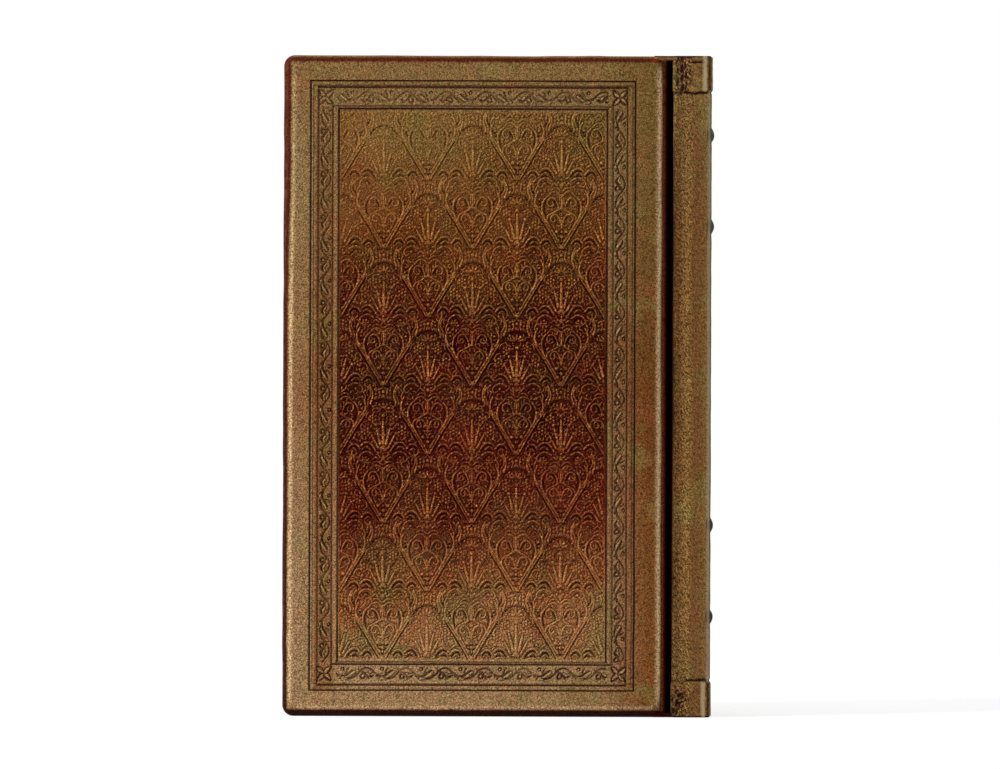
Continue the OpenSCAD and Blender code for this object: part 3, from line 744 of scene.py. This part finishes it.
def strip_solid(name, V, side, stain_and_shading):
    """A closed solid from rings of points in mm, one for each height; side is that of its cover."""
    n, m = len(V[0]), len(V)
    q = []
    for k in range(m - 1):
        a = k * n + np.arange(n)
        b = k * n + (np.arange(n) + 1) % n
        q.append(np.stack([a, b, b + n, a + n], 1))
    verts = np.vstack(V)
    half = n // 2
    o = np.arange(half - 1)
    q.append(np.stack([o + 1, o, n - 1 - o, n - 2 - o], 1))
    t = (m - 1) * n
    q.append(np.stack([t + o, t + o + 1, t + n - 2 - o, t + n - 1 - o], 1))
    quads = np.vstack(q)
    return poly_object(name, verts, quads if side < 0 else quads[:, ::-1],
            {"edge": np.zeros(len(verts)) + stain_and_shading})


def groove_leather(name, side):
    """Flexible leather in a groove, from under the cover's edge to the strip, with a rolled lip at head and tail."""
    n = 31
    x = np.linspace(X1 - 2.3, XS + 0.75, n)
    t = (x - X1) / (XS - X1)
    low = FACE - np.interp(t, [-0.3, 0.0, 0.30, 0.52, 0.75, 1.0, 1.3], [2.6, 1.7, 1.75, 2.3, 3.6, 3.7, 3.4])
    lip = FACE - 0.45 - 0.25 * np.sin(math.pi * np.clip(t, 0, 1))
    es = np.array([0.02, 0.1, 0.25, 0.45, 0.7, 1.0, 1.2, 1.4, 1.6, 1.8, 2.1, 2.6, 3.4, 4.6, 6.0])
    zs = np.concatenate([es, np.linspace(8, H - 8, 90), H - es[::-1]])
    rings, dark = [], []
    for z in zs:
        e = min(z, H - z)
        up = smooth(1.75, 0.95, e)
        top = low + (lip - low) * up + 0.10 * value_noise(x, np.full(n, z), 2.4, 41 + side) * (1 - up)
        top = top - 0.9 * (1 - smooth(-0.2, 0.75, e)) ** 2
        bot = np.minimum(top - 0.7, FACE - 3.0)
        rings.append(np.column_stack([np.concatenate([x, x[::-1]]), side * np.concatenate([top, bot[::-1]]),
                                      np.full(2 * n, z)]))
        shade = (0.14 + 0.86 * smooth(0.05, 0.62, t)) * (1 - up) + up * (
            0.55 * smooth(0.42, 0.2, e) if z > H / 2 else 0.6)
        dark.append(np.concatenate([shade, np.full(n, 0.3)]))
    return strip_solid(name, rings, side, np.concatenate(dark))


def endpaper_sheet(name, side):
    """Endpaper: pasted inside a cover, trimmed wider at the joint, and bending there to the first leaf."""
    lo_, hi_ = corners(f"{'front' if side < 0 else 'back'}_pastedown")
    pasted = min(abs(lo_[1]), abs(hi_[1]))
    x = np.concatenate([np.linspace(lo_[0] - 0.15, X1 - 7.0, 12), np.linspace(X1 - 6.2, X1 - 0.7, 12),
            np.linspace(X1 - 0.5, XS + 0.5, 14), [XS + 2, XS + 4.7]])
    low = np.interp(x, [X1 - 6.2, X1 - 2.4], [lo_[2] - 0.15, 4.0])
    t = smooth(X1 - 6.2, X1 - 3.4, x)
    over = (pasted + 0.02) * (1 - t) + (LEAF + 0.21) * t
    under = (pasted - 0.16) * (1 - t) + (LEAF + 0.07) * t
    rings = []
    for up in np.linspace(0, 1, 30):
        z = low + (H - 2 * low) * up
        rings.append(np.column_stack([np.concatenate([x, x[::-1]]), side * np.concatenate([over, under[::-1]]),
                                      np.concatenate([z, z[::-1]])]))
    obj = strip_solid(name, rings, side, 0.0)
    obj.data.polygons.foreach_set("use_smooth", np.zeros(len(obj.data.polygons), bool))
    return obj


def woven_band(name, z0, up):
    """Headband: threads wound over a core, in two colours."""
    (x0, y0, _), (x1, y1, _) = corners(name)
    r = (x1 - x0) / 2
    n, per = 44, 8
    ys = np.linspace(y0 + 0.05, y1 - 0.05, n * per + 1)
    verts, col = [], []
    for k, y in enumerate(ys):
        ph = (k % per) / per
        rr = r * (0.90 + 0.09 * math.sin(math.pi * ph))
        a = np.linspace(-0.35, math.pi + 0.35, 14)
        ring = np.column_stack([(x0 + x1) / 2 - rr * np.cos(a), np.full(14, y) + 0.18 * np.sin(a),
                z0 + up * (r + rr * np.sin(a))])
        base = np.array([[(x0 + x1) / 2 + rr * math.cos(0.35), y, z0],
                [(x0 + x1) / 2 - rr * math.cos(0.35), y, z0]])
        verts.append(np.vstack([ring, base]))
        col.append(np.full(16, float((k // per) % 4 < 2)))
    m = 16
    q = []
    for k in range(len(ys) - 1):
        a = k * m + np.arange(m)
        b = k * m + (np.arange(m) + 1) % m
        f = np.stack([a, a + m, b + m, b], 1)
        q.append(f if up > 0 else f[:, ::-1])
    t = (len(ys) - 1) * m
    for base_, rev in ((0, False), (t, True)):
        o = np.arange(7)
        f = np.stack([base_ + o, base_ + o + 1, base_ + 14 - o, base_ + 15 - o], 1)
        q.append(f[:, ::-1] if rev == (up > 0) else f)
    return poly_object(name + "_sewn", np.vstack(verts), np.vstack(q), {"stripe": np.concatenate(col)})


# ------------------------------------------------------------------ materials
def lin(rgb):
    out = []
    for c in rgb:
        c /= 255
        out.append(c / 12.92 if c <= 0.04045 else ((c + 0.055) / 1.055) ** 2.4)
    return (*out, 1.0)


class Nodes:
    """The node tree of a new material, or of the world."""

    def __init__(self, name, kind="materials"):
        self.mat = getattr(bpy.data, kind).new(name)
        self.mat.use_nodes = True
        self.t = self.mat.node_tree
        self.t.nodes.clear()
        if kind == "worlds":
            return
        co = self.add("TexCoord", out="Object")
        self.p = self.add("VectorMath", co, operation="SCALE", out=0, Scale=1000.0)

    def add(self, kind, *ins, out=0, **props):
        n = self.t.nodes.new("ShaderNode" + kind)
        sockets = {k: v for k, v in props.items() if k in n.inputs.keys()}
        for k, v in props.items():
            if k not in sockets:
                setattr(n, k, v)
        for k, v in list(enumerate(ins)) + list(sockets.items()):
            if v is None:
                continue
            if isinstance(v, bpy.types.NodeSocket):
                self.t.links.new(v, n.inputs[k])
            else:
                n.inputs[k].default_value = v
        return n.outputs[out]

    def math(self, op, a, b=0.0, c=0.0, clamp=False):
        return self.add("Math", a, b, c, operation=op, use_clamp=clamp)

    def mul(self, a, b, clamp=False):
        return self.math("MULTIPLY", a, b, clamp=clamp)

    def plus(self, a, b):
        return self.math("ADD", a, b)

    def minus(self, a, b):
        return self.math("SUBTRACT", a, b)

    def noise(self, scale, detail=3.0, rough=0.55, vec=None):
        """Noise from 0 to 1, with lumps scale mm across."""
        n = self.t.nodes.new("ShaderNodeTexNoise")
        self.t.links.new(vec or self.p, n.inputs["Vector"])
        n.inputs["Scale"].default_value = 1.0 / scale
        n.inputs["Detail"].default_value = detail
        n.inputs["Roughness"].default_value = rough
        return n.outputs[0]

    def cells(self, scale, vec):
        n = self.t.nodes.new("ShaderNodeTexVoronoi")
        self.t.links.new(vec, n.inputs["Vector"])
        n.inputs["Scale"].default_value = 1.0 / scale
        return n.outputs[0]

    def ramp(self, fac, stops):
        """stops as (position, colour), where a colour of three numbers is sRGB from 0 to 255."""
        n = self.t.nodes.new("ShaderNodeValToRGB")
        el = n.color_ramp.elements
        while len(el) < len(stops):
            el.new(0.5)
        for e, (pos, col) in zip(el, stops):
            e.position = pos
            e.color = col if len(col) == 4 else lin(col)
        self.t.links.new(fac, n.inputs[0])
        return n.outputs[0]

    def span(self, v, a, b, lo_=0.0, hi_=1.0):
        """v from a..b to lo..hi, held at both ends."""
        n = self.t.nodes.new("ShaderNodeMapRange")
        n.interpolation_type = "SMOOTHSTEP"
        self.t.links.new(v, n.inputs[0])
        for k, x in enumerate((a, b, lo_, hi_), 1):
            n.inputs[k].default_value = x
        return n.outputs[0]

    def mix(self, fac, a, b, blend="MIX"):
        n = self.t.nodes.new("ShaderNodeMix")
        n.data_type = "RGBA"
        n.blend_type = blend
        for k, v in ((0, fac), (6, a), (7, b)):
            if isinstance(v, bpy.types.NodeSocket):
                self.t.links.new(v, n.inputs[k])
            else:
                n.inputs[k].default_value = lin(v) if k and len(v) == 3 else v
        return n.outputs[2]

    def tinted(self, a, b):
        return self.mix(1.0, a, b, "MULTIPLY")

    def attr(self, name):
        return self.add("Attribute", attribute_name=name, out="Fac")

    def seen(self):
        """1 for rays that come from the camera, a mirror or glass."""
        path = self.t.nodes.new("ShaderNodeLightPath").outputs
        return self.math("MAXIMUM", path["Is Camera Ray"],
                         self.math("MAXIMUM", path["Is Glossy Ray"], path["Is Transmission Ray"]))

    def output(self, kind, shader):
        self.t.links.new(shader, self.t.nodes.new("ShaderNodeOutput" + kind).inputs[0])

    def xyz(self):
        n = self.t.nodes.new("ShaderNodeSeparateXYZ")
        self.t.links.new(self.p, n.inputs[0])
        return n.outputs

    def finish(self, color, rough, height, depth, specular=0.15, sheen=0.0):
        """depth is the bump's, in mm."""
        b = self.t.nodes.new("ShaderNodeBsdfPrincipled")
        o = self.t.nodes.new("ShaderNodeOutputMaterial")
        self.t.links.new(b.outputs[0], o.inputs[0])
        for key, v in (("Base Color", color), ("Roughness", rough)):
            if isinstance(v, bpy.types.NodeSocket):
                self.t.links.new(v, b.inputs[key])
            else:
                b.inputs[key].default_value = v
        b.inputs["Specular IOR Level"].default_value = specular
        b.inputs["Sheen Weight"].default_value = sheen
        n = self.t.nodes.new("ShaderNodeBump")
        n.inputs["Distance"].default_value = depth / 1000
        n.inputs["Strength"].default_value = 1.0
        self.t.links.new(height, n.inputs["Height"])
        self.t.links.new(n.outputs[0], b.inputs["Normal"])
        return self.mat


def leather(name, kind):
    """kind is cover, tooled, spine, groove or back."""
    m = Nodes(name)
    x, y, z = m.xyz()
    up = m.math("DIVIDE", z, H)
    rel = m.math("DIVIDE", m.minus(x, X0), W)
    # worn tan leather: lighter along the fore-edge and the tail, redder to the hinge
    left = m.ramp(up, [(0.0, (149, 118, 83)), (0.2, (145, 114, 80)), (0.5, (127, 91, 58)),
            (0.8, (128, 102, 68)), (1.0, (116, 90, 53))])
    right = m.ramp(up, [(0.0, (112, 68, 28)), (0.25, (101, 59, 22)), (0.5, (91, 52, 16)), (0.8, (99, 74, 35)),
            (1.0, (103, 80, 40))])
    base = m.mix(m.span(rel, 0.78, 1.0), left, right)
    if kind in ("spine", "groove"):
        base = m.ramp(up, [(0.0, (112, 83, 47)), (0.4, (110, 80, 44)), (0.75, (109, 79, 43)),
                (1.0, (110, 85, 50))])
    if kind == "back":
        base = m.ramp(up, [(0.0, (136, 104, 68)), (0.5, (124, 90, 56)), (1.0, (122, 94, 60))])
    mottle = m.noise(16.0, 4.0, 0.6)
    base = m.mix(m.span(mottle, 0.52, 0.68, 0, 0.55), base, (117, 105, 58))
    red = m.noise(11.0, 4.0, 0.6, vec=m.add("VectorMath", m.p, (171.0, 13.0, 57.0), operation="ADD"))
    base = m.mix(m.span(red, 0.50, 0.75, 0, 0.3), base, (138, 80, 50))
    hue = m.noise(1.1, 3.0, 0.7)
    base = m.mix(m.span(hue, 0.40, 0.66, 0, 0.5), base, m.tinted(base, (1.10, 0.90, 0.86, 1)))
    base = m.mix(m.span(hue, 0.56, 0.34, 0, 0.5), base, m.tinted(base, (0.90, 1.06, 0.86, 1)))
    if kind == "tooled":
        # centre of the panel stained dark, its ridges rubbed tan, with painted highlight on their slopes that face
        # up and to the fore-edge
        wav = m.plus(up, m.mul(m.minus(m.noise(24.0, 3.0), 0.5), 0.22))
        ground = m.ramp(wav, [(0.06, (160, 120, 79)), (0.18, (144, 88, 48)), (0.32, (88, 26, 9)),
                              (0.46, (56, 2, 2)), (0.60, (68, 8, 4)), (0.75, (108, 60, 23)),
                              (0.92, (126, 90, 46))])
        top = m.ramp(wav, [(0.06, (164, 130, 86)), (0.22, (164, 112, 66)), (0.36, (166, 98, 50)),
                           (0.50, (182, 116, 58)), (0.70, (174, 122, 62)), (0.92, (148, 112, 62))])
        tint = m.span(m.noise(1.3, 2.0), 0.42, 0.58)
        top = m.mix(tint, m.tinted(top, (1.04, 0.88, 1.0, 1)), m.tinted(top, (0.97, 1.10, 0.88, 1)))
        rub_and_highlight = m.mul(m.attr("ridge"), m.span(m.noise(0.75, 3.0, 0.7), 0.36, 0.60, 0.12, 1.0))
        # painted glint: bright specks on the ridges
        spark = m.mul(m.attr("ridge"), m.span(m.noise(0.55, 1.0), 0.60, 0.70))
        stain_and_shading = m.mix(m.mul(spark, 0.8), m.mix(rub_and_highlight, ground, top), (206, 160, 104))
        stain_and_shading = m.mix(m.span(red, 0.46, 0.72, 0, 0.45), stain_and_shading,
                m.ramp(up, [(0.0, (150, 84, 50)), (0.5, (112, 30, 14)), (1.0, (124, 72, 40))]))
        olive = m.mul(m.span(mottle, 0.46, 0.62), m.ramp(up,
                [(0.1, (0.55, 0.55, 0.55, 1)), (0.3, (0.25, 0.25, 0.25, 1)), (0.75, (0.3, 0.3, 0.3, 1)),
                (0.9, (0.55, 0.55, 0.55, 1))]))
        stain_and_shading = m.mix(olive, stain_and_shading, m.ramp(up, [(0.1, (126, 116, 66)), (0.4, (78, 48, 18)),
                (0.9, (112, 94, 46))]))
        base = m.mix(m.attr("panel"), base, stain_and_shading)
        # the border's fore-edge side is stained darker
        frame_side = m.mul(m.span(rel, 0.15, 0.125), m.span(up, 0.98, 0.80))
        frame_side = m.mul(frame_side, m.minus(1.0, m.attr("panel")), clamp=True)
        frame_side = m.mul(frame_side, m.span(rel, 0.078, 0.09))
        base = m.mix(frame_side, base, m.tinted(base, (0.74, 0.60, 0.48, 1)))
        # the border's strokes rubbed lighter, with painted highlight on their walls that face up and to the
        # fore-edge
        rim = m.minus(m.attr("ridge"), m.attr("panel"))
        base = m.mix(m.mul(rim, 0.5, clamp=True), base, (172, 136, 92))
        # near-black in the hollows, frame lines and cut strokes: the tooling's dark stain, and in the hollows and
        # strokes painted shade as well, strongest on the slopes that face down and to the hinge
        base = m.mix(m.mul(m.attr("hollow"), 0.88), base, (36, 4, 1))
        base = m.mix(m.mul(m.attr("cut"), 0.88), base, (50, 13, 4))
    else:
        edge_amount = m.attr("edge")
        dirt = m.mul(m.minus(m.noise(2.2, 3.0), 0.5), 0.6)
        if kind == "groove":
            # painted shade in the groove: dark red under the cover's edge, near black by the strip and at the lip's
            # head contour
            stain_and_shading = m.ramp(edge_amount, [(0.0, (98, 34, 14)), (0.30, (82, 25, 10)), (0.50, (48, 10, 4)),
                    (0.72, (22, 3, 3)), (1.0, (16, 2, 2))])
        else:
            # colour of the darkened edges: dark stain, darker towards the tail as painted shade
            tone = [(0.0, (34, 1, 1)), (0.05, (42, 5, 2)), (0.5, (50, 12, 5)), (1.0, (72, 22, 8))]
            if kind == "spine":
                # dark colour for the spine's painted shade in creases, along its corner and at its contours
                tone = [(0.0, (30, 8, 6)), (1.0, (40, 10, 8))]
            stain_and_shading = m.ramp(up, tone)
            if kind == "cover":
                # painted shade, dark red, on the rounding of the cover's hinge edge
                stain_and_shading = m.mix(m.mul(m.span(rel, 0.962, 0.98), m.span(up, 0.02, 0.05)), stain_and_shading, (96, 33, 13))
        fraction = (m.span(edge_amount, 0.0, 0.25, 0, 1) if kind == "groove"
                else m.span(m.plus(edge_amount, dirt), 0.05, 0.85, 0, 0.98))
        base = m.mix(fraction, base, stain_and_shading)
        if kind == "cover":
            # painted highlight along the edges' rounding
            base = m.mix(m.mul(m.attr("light"), 0.9), base, (202, 170, 126))
    if kind == "spine":
        # the strip: painted shade beside the groove, rubbed lighter down its middle, darker and redder past it, and
        # a painted highlight just before the spine's edge
        across = m.math("DIVIDE", m.minus(x, XS), XB - XS)
        across = m.plus(across, m.mul(m.minus(m.noise(26.0, 2.0), 0.5), 0.16))
        tone = m.ramp(across, [(0.0, (0.12, 0.10, 0.08, 1)), (0.035, (0.36, 0.31, 0.26, 1)),
                               (0.08, (0.64, 0.62, 0.57, 1)), (0.16, (0.68, 0.64, 0.60, 1)),
                               (0.24, (0.96, 0.96, 0.93, 1)), (0.31, (1.14, 1.16, 1.14, 1)),
                               (0.39, (1.28, 1.33, 1.33, 1)), (0.46, (1.08, 1.06, 1.06, 1)),
                               (0.53, (0.91, 0.81, 0.83, 1)), (0.62, (0.89, 0.77, 0.80, 1)),
                               (0.77, (0.93, 0.91, 0.88, 1)), (0.90, (1.15, 1.2, 1.3, 1)),
                               (1.1, (1.0, 1.0, 1.0, 1))])
        amount = m.ramp(up, [(0.0, (0.45, 0.45, 0.45, 1)), (0.22, (1, 1, 1, 1)), (0.78, (1, 1, 1, 1)),
                (0.95, (0.35, 0.35, 0.35, 1))])
        base = m.tinted(base, m.mix(amount, (1, 1, 1, 1), tone))
    # pebble grain
    warp = m.add("VectorMath", m.p, m.add("VectorMath", m.add("TexNoise", m.p, out="Color", Scale=1.1),
            (0.5, 0.5, 0.5), operation="SUBTRACT"), operation="ADD")
    pebble = m.minus(1.0, m.cells(0.44, vec=warp))
    fine = m.noise(0.17, 1.0, 0.6)
    soft = m.noise(2.6, 3.0, 0.55)
    height = m.plus(m.plus(m.mul(pebble, 0.8), m.mul(fine, 0.45)), m.mul(soft, 0.8))
    grit = m.noise(0.32, 2.0, 0.7)
    speck = m.plus(m.mul(pebble, 0.25), m.mul(grit, 0.75))
    if kind == "spine":
        # the strip's grain is coarser and runs in slanting streaks
        slant = m.add("CombineXYZ", m.plus(x, m.mul(z, 0.55)), y, m.mul(z, 0.45))
        speck = m.plus(m.mul(speck, 0.55), m.mul(m.noise(0.42, 3.0, 0.7, vec=slant), 0.45))
        near_groove = [(0.43, (0.20, 0.15, 0.10, 1)), (0.52, (1.0, 0.98, 0.95, 1)), (0.62, (2.5, 2.45, 2.3, 1))]
        near_edge = [(0.40, (0.35, 0.28, 0.22, 1)), (0.52, (1.0, 0.98, 0.95, 1)), (0.66, (2.0, 1.95, 1.85, 1))]
        shade = m.mix(m.span(across, 0.42, 0.55), m.ramp(speck, near_groove), m.ramp(speck, near_edge))
    else:
        shade = m.ramp(speck, [(0.38, (0.40, 0.34, 0.30, 1)), (0.52, (1.0, 1.0, 1.0, 1)),
                (0.68, (1.8, 1.8, 1.75, 1))])
    base = m.tinted(base, shade)
    # painted highlight on the spine's folds, edge and band crowns
    if kind == "spine":
        base = m.mix(m.mul(m.attr("light"), 0.6), base, (168, 154, 120))
    rough = m.span(fine, 0.3, 0.7, 0.66, 0.50)
    return m.finish(base, rough, height, 0.19, specular=0.02 if kind == "groove" else 0.035)


def paper(name, tone, lines=False):
    m = Nodes(name)
    x, y, z = m.xyz()
    age = m.noise(28.0, 4.0, 0.6)
    base = m.ramp(age, [(0.3, tone), (0.7, tuple(c * 0.92 for c in tone))])
    fox = m.noise(3.5, 3.0, 0.6)
    base = m.mix(m.span(fox, 0.66, 0.78, 0, 0.4), base, (150, 108, 62))
    if lines:
        flat = m.add("CombineXYZ", m.mul(x, 0.003), y, m.mul(z, 0.003))
        leaf = m.noise(0.11, 1.0, 0.5, vec=flat)
        base = m.mix(m.span(leaf, 0.56, 0.40, 0, 0.5), base, (140, 110, 72))
        gather = m.math("ABSOLUTE", m.minus(m.math("FRACT", m.math("DIVIDE", y, 2.6)), 0.5))
        base = m.mix(m.span(gather, 0.06, 0.02, 0, 0.5), base, (120, 92, 58))
        return m.finish(base, 0.8, leaf, 0.10, specular=0.1)
    fibre = m.noise(0.4, 3.0, 0.7)
    return m.finish(base, 0.85, fibre, 0.02)


def plain_board(name, tone):
    m = Nodes(name)
    grey = m.noise(1.2, 4.0, 0.7)
    base = m.ramp(grey, [(0.3, tuple(c * 0.82 for c in tone)), (0.7, tone)])
    return m.finish(base, 0.85, grey, 0.08)


def thread(name):
    m = Nodes(name)
    col = m.mix(m.attr("stripe"), (122, 40, 30), (206, 182, 128))
    fuzz = m.noise(0.2, 3.0, 0.7)
    col = m.mix(m.span(fuzz, 0.35, 0.6, 0.45, 0), col, (70, 34, 22))
    return m.finish(col, 0.7, fuzz, 0.05, specular=0.3, sheen=0.2)


# ------------------------------------------------------------------ pieces
cover_mat = leather("cover_leather", "cover")
tooled_mat = leather("tooled_leather", "tooled")
spine_mat = leather("spine_leather", "spine")
groove_mat = leather("groove_leather", "groove")
back_mat = leather("plain_leather", "back")
edge_paper = paper("page_edges", (226, 206, 164), lines=True)
end_paper = paper("endpaper", (222, 204, 166))
board_mat = plain_board("pasteboard", (150, 132, 100))
cloth_mat = plain_board("lining_cloth", (196, 182, 148))
thread_mat = thread("sewing_thread")


def dress(obj, mat):
    obj.data.materials.clear()
    obj.data.materials.append(mat)
    return obj


for piece in tooled_face():
    dress(piece, tooled_mat)
    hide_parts("front_leather")
    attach(piece, "front_cover")

shell = dress(cover_shell("front_cover_leather", -1, True), cover_mat)
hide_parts("front_leather")
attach(shell, "front_cover")

shell = dress(cover_shell("back_cover_leather", 1, False), back_mat)
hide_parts("back_leather")
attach(shell, "back_cover")

spine = dress(spine_shell(), spine_mat)
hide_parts("spine_leather")
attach(spine, "block")

for word, side in (("front", -1), ("back", 1)):
    g = dress(groove_leather(f"{word}_groove_leather", side), groove_mat)
    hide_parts("spine_leather")
    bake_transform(g)
    p = dress(endpaper_sheet(f"{word}_endpaper", side), end_paper)
    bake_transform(p)

band = dress(woven_band("head_band", corners("head_band")[0][2], 1), thread_mat)
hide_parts("head_band")
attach(band, "block")
band = dress(woven_band("tail_band", corners("tail_band")[1][2], -1), thread_mat)
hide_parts("tail_band")
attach(band, "block")

for node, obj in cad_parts.items():
    mat = board_mat
    if node == "page_block":
        mat = edge_paper
    elif "flyleaf" in node or "pastedown" in node:
        mat = end_paper
    elif node == "spine_lining":
        mat = cloth_mat
    elif "leather" in node:
        mat = back_mat
    elif node in ("head_band", "tail_band"):
        mat = thread_mat
    obj.data.materials.clear()
    obj.data.materials.append(mat)


# ------------------------------------------------------------------ stage
def area(name, loc, energy, wide, high):
    """A lamp that looks at the middle of the book."""
    d = bpy.data.lights.new(name, "AREA")
    d.energy = energy
    d.shape = "RECTANGLE"
    d.size = wide
    d.size_y = high
    o = bpy.data.objects.new(name, d)
    bpy.context.scene.collection.objects.link(o)
    o.location = loc
    o.rotation_euler = (Vector((0, 0, H / 2000)) - Vector(loc)).to_track_quat("-Z", "Y").to_euler()


area("key_left", (-0.95, -0.38, 0.74), 20.5, 0.22, 0.22)
area("soft_right", (0.80, -0.70, 0.22), 1.2, 0.5, 0.6)
area("soft_top", (0.0, 0.15, 0.95), 3.5, 0.6, 0.6)
area("soft_back", (0.75, 0.85, 0.55), 8.0, 0.5, 0.5)

# near the object the floor takes light and shadow, and further out it is plain white
floor_mat = Nodes("studio_floor")
paint = floor_mat.add("BsdfDiffuse", floor_mat.ramp(floor_mat.noise(90.0, 2.0),
        [(0.0, (248, 248, 248)), (1.0, (251, 251, 251))]))
glow = floor_mat.add("Emission", (1, 1, 1, 1), 1.0)
away = floor_mat.add("VectorMath", floor_mat.p, operation="LENGTH", out="Value")
fade = floor_mat.math("MULTIPLY", floor_mat.seen(), floor_mat.span(away, 60.0, 420.0, 0.72, 1.0))
floor_mat.output("Material", floor_mat.add("MixShader", fade, paint, glow))
bpy.ops.mesh.primitive_plane_add(size=40, location=(0, 0, 0))
floor = bpy.context.object
floor.name = "studio_floor"
floor.data.materials.append(floor_mat.mat)

FILL, WHITE = 0.27, 1.0                 # the world as light, and as background
world = Nodes("studio", "worlds")
bpy.context.scene.world = world.mat
fill = world.add("Background", (1, 1, 1, 1), FILL)
white = world.add("Background", (1, 1, 1, 1), WHITE)
world.output("World", world.add("MixShader", world.seen(), fill, white))

DIST = 1.5                              # camera to the book's middle, metres
WIDE, HIGH = 1000, 769                  # the photograph
LEFT, MID_ROW = 282.5, 386              # column of the fore-edge, and row of the cover's middle
PIX = H / 1000 / 662                    # metres of the cover's face in one pixel
cam = bpy.data.cameras.new("camera")
cam.sensor_width = 36
cam.lens = 36 * (DIST - FACE / 1000) / (WIDE * PIX)
camera = bpy.data.objects.new("camera", cam)
bpy.context.scene.collection.objects.link(camera)
camera.location = ((WIDE / 2 - LEFT) * PIX + X0 / 1000, -DIST, H / 2000 + (MID_ROW - HIGH / 2) * PIX)
camera.rotation_euler = (math.radians(90), math.radians(-0.2), 0)
bpy.context.scene.camera = camera
bpy.context.scene.view_settings.view_transform = "Standard"
